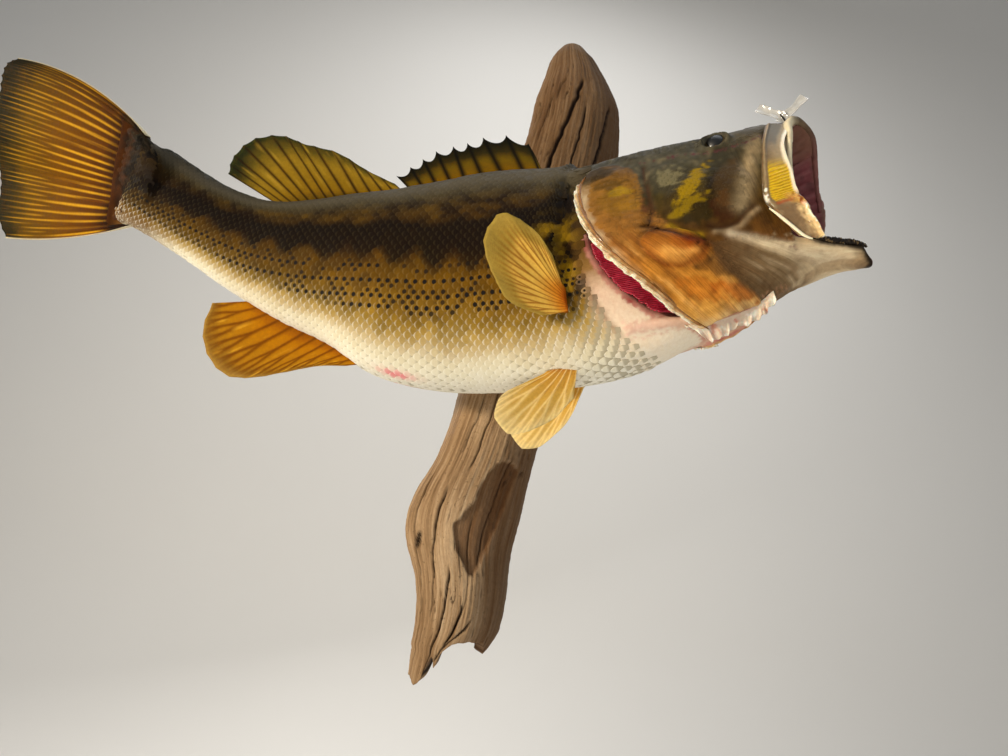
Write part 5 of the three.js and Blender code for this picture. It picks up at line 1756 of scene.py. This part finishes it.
def mouthTones(u, v, points):
    coarse = cloudNoise(points, 8, 3, 66) - 0.5
    folds = smooth(0.1, 0.9, np.sin(2 * pi * u * 21 + 3 * v))
    hinge = smooth(0.34, 0.42, u) * smooth(0.62, 0.52, u) * smooth(0.5, 0.1, v)
    return painted(colourAlong(pieceTones["mouth"], v + 0.08 * coarse),
                   ((160, 104, 104), 0.35 * folds),
                   ((70, 44, 40), 0.6 * smooth(0.08, 0.3, coarse)),
                   ((116, 84, 60), 0.7 * hinge),
                   ((240, 230, 206), smooth(0.42, 0.30, u) * smooth(0.14, 0.02, v)))


def makeTongue():
    form = bmesh.new()
    bmesh.ops.create_uvsphere(form, u_segments=36, v_segments=24, radius=1.0)
    for vert in form.verts:
        a, l, h = vert.co
        groove = 0.8 * math.exp(-(l / 0.12) ** 2) * max(h, 0)
        vert.co = headPoint(78 + 18.5 * a, 10.2 * l, -37.5 + 3.6 * h - groove) * mm
    piece = objectFrom("tongue", form, wetMaterial("tongueFlesh", 0.4, 300, 0.0004, 0.3, 0.3))
    patches = cloudNoise(meshPoints(piece.data) / mm, 6, 2, 67)[:, None]
    writeTint(piece.data, colour(186, 128, 122) * (0.8 + 0.4 * patches))
    finished(piece, "mouth_flesh", "tongue")


def makeMouth():
    form = bentForm(gridForm(230, 44, True), mouthShape, False)
    material = wetMaterial("mouthFlesh", 0.42, 330, 0.0005, 0.25, 0.2)
    madePiece("mouth_lining", form, material, mouthTones, "mouth_flesh")
    makeTongue()
    specks = lambda points: smooth(0.56, 0.7, cloudNoise(points, 1.6, 2, 68))
    teethTones = lambda u, v, points: blend((30, 22, 14), (112, 92, 62), specks(points))
    form = tubeForm(jawRim, 1.5, 14, 220, 1.1)
    material = wetMaterial("toothedRim", 0.5, 500, 0.0005, 0.1, 0.0)
    madePiece("jaw_teeth", form, material, teethTones, "jaw_bone")
    form = tubeForm(foldPath, 0.9, 10, 60)
    foldTones = lambda u, v, points: colour(244, 230, 198)
    material = wetMaterial("foldSkin", 0.3, 300, 0.0002, 0.6, 0.3)
    madePiece("jaw_fold", form, material, foldTones, "lip_bone")


def gillShape(side, layer):
    def middle(u, v):
        h = gill["top"] + (gill["bottom"] - gill["top"]) * v
        bulge = np.sin(pi * np.clip(v, 0, 1))
        back = 3.0 * ragOf(v * 80, 2.0, 2, 70 + layer) * smooth(0.4, 0.0, u)
        a = shoulderAhead(h) + 3 + 3.5 * layer + u * gill["depth"] * 0.8 * (0.45 + 0.55 * bulge) - back
        return headPoint(a, side * (26 + 9 * bulge - 5 * u - 3.4 * layer), h)

    def shape(u, v, w):
        phase = v * gill["filaments"] + 0.5 * layer + 0.8 * valueNoise(sheet(v * 20, u * 2), 1.0, 77)
        comb = np.abs(np.sin(pi * phase)) ** 0.7
        rise = 1.5 * comb * smooth(0.85, 0.6, u) * (0.6 + 0.4 * u) + 1.4 * bell(u - 0.86, 0.10)
        return raised(middle, u, v, headAxes[1] * side, rise * (1 - 2 * w) * 0.5 - 0.3 * w)

    return shape


def gillTones(u, v, points):
    comb = np.abs(np.sin(pi * (v * gill["filaments"] + 0.4)))
    tones = colourAlong(pieceTones["gill"], 0.75 * comb + 0.5 * (cloudNoise(points, 3, 2, 71) - 0.3))
    return blend(tones, (212, 120, 120), 0.5 * smooth(0.8, 0.95, u))


def makeGills():
    material = wetMaterial("gillFlesh", 0.30, 500, 0.0003, 0.6, 0.25)
    for side, word in sides:
        layers = [gillShape(side, layer) for layer in range(gill["layers"])]
        form = joined([bentForm(gridForm(14, 520, True), shape, False) for shape in layers])
        madePiece("gills_" + word, form, material, gillTones, "gill_red", "gills_" + word)


def coverEdgeShape(side):
    surface = plateOf(coverRows, side)

    def shape(u, v, w):
        at = 0.06 + 0.95 * v
        rag = ragOf(v * 70, 2.4, 3, 81)
        wide = 0.10 - (0.13 + 0.07 * rag) * u * smooth(0.0, 0.06, v) * smooth(1.01, 0.93, v)
        waves = wave(v * 16 + 1.3 * u + 2.5 * rag) * smooth(0.35, 1.0, u)
        pleats = wave(u * 2.5 + 5 * v + 0.8 * rag) * smooth(0.0, 0.2, u) * smooth(1.0, 0.7, u)
        rise = 0.7 + 0.6 * waves + 0.25 * pleats - 0.8 * smooth(0.25, 0.0, u) - 0.5 * u
        inside = np.maximum(wide, 0)
        return raised(surface, inside, at, headAxes[1] * side, rise - 0.55 * w, surface(wide, at))

    return shape


def membraneTones(u, v, points):
    fine = cloudNoise(points, 3, 3, 82) - 0.5
    lines = smooth(0.3, 0.9, wave(u * 3.5 + 5 * v))
    return painted(colourAlong(pieceTones["membrane"], u + 0.6 * fine),
                   ((146, 96, 46), 0.5 * lines * smooth(0.8, 0.4, u)),
                   ((120, 84, 56), 0.7 * smooth(0.10, 0.02, v) * smooth(0.1, 0.4, u)))


def tornShape(u, v, w):
    point = netPoint(tornRows, u, v)
    rag = ragOf(u * 60, 3.0, 3, 83)
    point[:, 2] += 5 * rag * smooth(0.6, 1.0, v)
    point[:, 1] += 1.2 * wave(u * 9 + rag) * smooth(0.2, 1, v) - 0.6 * w
    return headPoint(*point.T)


def tornTones(u, v, points):
    fine = cloudNoise(points, 4, 3, 84) - 0.5
    # pinkish patches of its own colour, and white patches painted as highlights on the wet membrane
    return painted((208, 190, 170), ((190, 128, 104), smooth(0.05, 0.3, fine)),
                   ((240, 232, 218), smooth(0.08, 0.3, -fine)))


def makeMembranes():
    material = wetMaterial("thinMembrane", 0.28, 260, 0.0003, 0.6, 0.35)
    for side, word in sides:
        form = bentForm(gridForm(36, 420, True), coverEdgeShape(side), False)
        madePiece("cover_membrane_" + word, form, material, membraneTones, "gill_plate")
    form = bentForm(gridForm(180, 26, True), tornShape, False)
    madePiece("throat_membrane", form, material, tornTones, "gill_plate")


def tapeShape(path):
    def shape(u, v, w):
        across = np.cross(heading(lambda at: along(path, at), v, 0.02), np.array([0.0, 1.0, 0.0]))
        width = (2 * u - 1) * tape["half"] * (0.85 + 0.10 * np.sin(9 * v))
        point = along(path, v) + across * width[:, None]
        point[:, 1] += 0.9 * (2 * u - 1) ** 2 + tape["thick"] * 0.6 * (0.5 - w) + 0.3 * np.sin(11 * v + 4 * u)
        return headPoint(*point.T)

    return shape


def makeTape():
    forms = [bentForm(gridForm(14, 40, True), tapeShape(arm), False) for arm in tape["arms"]]
    bench = Bench("clearTape")
    crease = bench.noise(240, 3, 0.6)
    tone = bench.mix(crease, (0.52, 0.50, 0.45), (0.86, 0.85, 0.82))
    material = bench.surface({
        "Base Color": tone, "Roughness": 0.18, "Coat Weight": 0.8, "Coat Roughness": 0.05,
        "Transmission Weight": 0.35, "Normal": bench.bump(crease, 0.0004, 0.6),
    })
    finished(objectFrom("snout_tape", joined(forms), material), "tape", "snout_tape")
    bench = Bench("pinWire")
    steel = bench.surface({"Base Color": (0.03, 0.026, 0.022), "Metallic": 0.9, "Roughness": 0.4})
    finished(objectFrom("tape_pin", tubeForm(pinPath, 0.6, 8, 24), steel), "tape")


makeWood()
makeFins()
makeEyes()
makeMaxillae()
makeMouth()
makeGills()
makeMembranes()
makeTape()
print("small pieces made")
bassSkin = makeSkin()
makeScales(bassSkin)
thinSkin(bassSkin)
print("skin and scales made")


# Floor, backdrop, light and camera.

stage = {
    "floorHeight": -1.3,
    "floorStart": -6.0,
    "wallAway": 2.6,
    "wallHeight": 4.5,
    "curve": 1.2,
    "curveSteps": 12,
    "width": 14.0,
    "tone": (226, 224, 220),
}
camera = {
    "place": (0.0059, -0.5609, -0.2421),
    "forward": (0.0, 0.951, 0.309),
    "turn": 12,
    "lens": 26.786,
}
lamps = [
    {"name": "key", "place": (-2.0, -1.05, -0.05), "size": 0.36, "power": 48, "tone": (1.0, 0.87, 0.68)},
    {"name": "fill", "place": (1.4, -1.9, 0.3), "size": 1.6, "power": 7, "tone": (0.92, 0.96, 1.0)},
    {"name": "sky", "place": (0.2, -0.5, 2.0), "size": 1.6, "power": 9, "tone": (0.90, 0.95, 1.0)},
    {"name": "behind", "place": (-0.6, 1.9, 0.9), "size": 1.6, "power": 44, "tone": (1.0, 0.97, 0.93)},
    {"name": "wall", "place": (0.0, 1.0, 2.2), "size": 2.5, "power": 26, "tone": (1, 1, 1),
     "aim": (0.0, 3.2, -1.2)},
    {"name": "under", "place": (-0.3, -1.0, -1.2), "size": 1.2, "power": 8, "tone": (1.0, 0.92, 0.82)},
]


def makeStage():
    reach = stage["wallAway"] - stage["curve"]
    form = bmesh.new()
    bmesh.ops.create_grid(form, x_segments=1, y_segments=1, size=0.5)
    for vert in form.verts:
        far = vert.co.y > 0
        vert.co = (vert.co.x * stage["width"], reach if far else stage["floorStart"], stage["floorHeight"])
    edge = next(edge for edge in form.edges if all(vert.co.y > 0 for vert in edge.verts))
    turns = [(step + 0.5) / stage["curveSteps"] * pi / 2 for step in range(stage["curveSteps"])]
    length = stage["curve"] * pi / (2 * stage["curveSteps"])
    moves = [(0.0, length * math.cos(turn), length * math.sin(turn)) for turn in turns]
    for move in moves + [(0.0, 0.0, stage["wallHeight"])]:
        grown = bmesh.ops.extrude_edge_only(form, edges=[edge])
        bmesh.ops.translate(form, verts=freshVerts(grown), vec=move)
        edge = next(item for item in grown["geom"] if isinstance(item, bmesh.types.BMEdge))
    bench = Bench("paleBackdrop")
    tone = bench.mix(bench.noise(1.5, 2), colour(*stage["tone"]) * 0.97, colour(*stage["tone"]))
    backdrop = objectFrom("backdrop", form, bench.surface({"Base Color": tone, "Roughness": 0.9}))


def makeLamps():
    for lamp in lamps:
        light = bpy.data.lights.new(lamp["name"], "AREA")
        light.shape = "DISK"
        light.size = lamp["size"]
        light.energy = lamp["power"]
        light.color = lamp["tone"]
        holder = bpy.data.objects.new(lamp["name"], light)
        holder.location = lamp["place"]
        aim = Vector(lamp.get("aim", (0.0, -0.08, -0.02))) - Vector(lamp["place"])
        holder.rotation_euler = aim.to_track_quat("-Z", "Y").to_euler()
        bpy.context.scene.collection.objects.link(holder)
    world = bpy.data.worlds.new("studio")
    world.use_nodes = True
    background = world.node_tree.nodes["Background"]
    background.inputs["Color"].default_value = (0.86, 0.89, 0.92, 1)
    background.inputs["Strength"].default_value = 0.26
    bpy.context.scene.world = world
    bpy.context.scene.view_settings.view_transform = "Standard"


def makeCamera():
    data = bpy.data.cameras.new("camera")
    data.lens = camera["lens"]
    data.sensor_width = 36
    data.clip_start = 0.01
    holder = bpy.data.objects.new("camera", data)
    forward = Vector(camera["forward"]).normalized()
    flatRight = Vector((1, 0, 0))
    flatUp = flatRight.cross(forward)
    turn = math.radians(camera["turn"])
    right = flatRight * math.cos(turn) + flatUp * math.sin(turn)
    up = flatUp * math.cos(turn) - flatRight * math.sin(turn)
    axes = Matrix((right, up, -forward)).transposed().to_4x4()
    holder.matrix_world = Matrix.Translation(camera["place"]) @ axes
    bpy.context.scene.collection.objects.link(holder)
    bpy.context.scene.camera = holder


makeStage()
makeLamps()
makeCamera()
print("stage set")
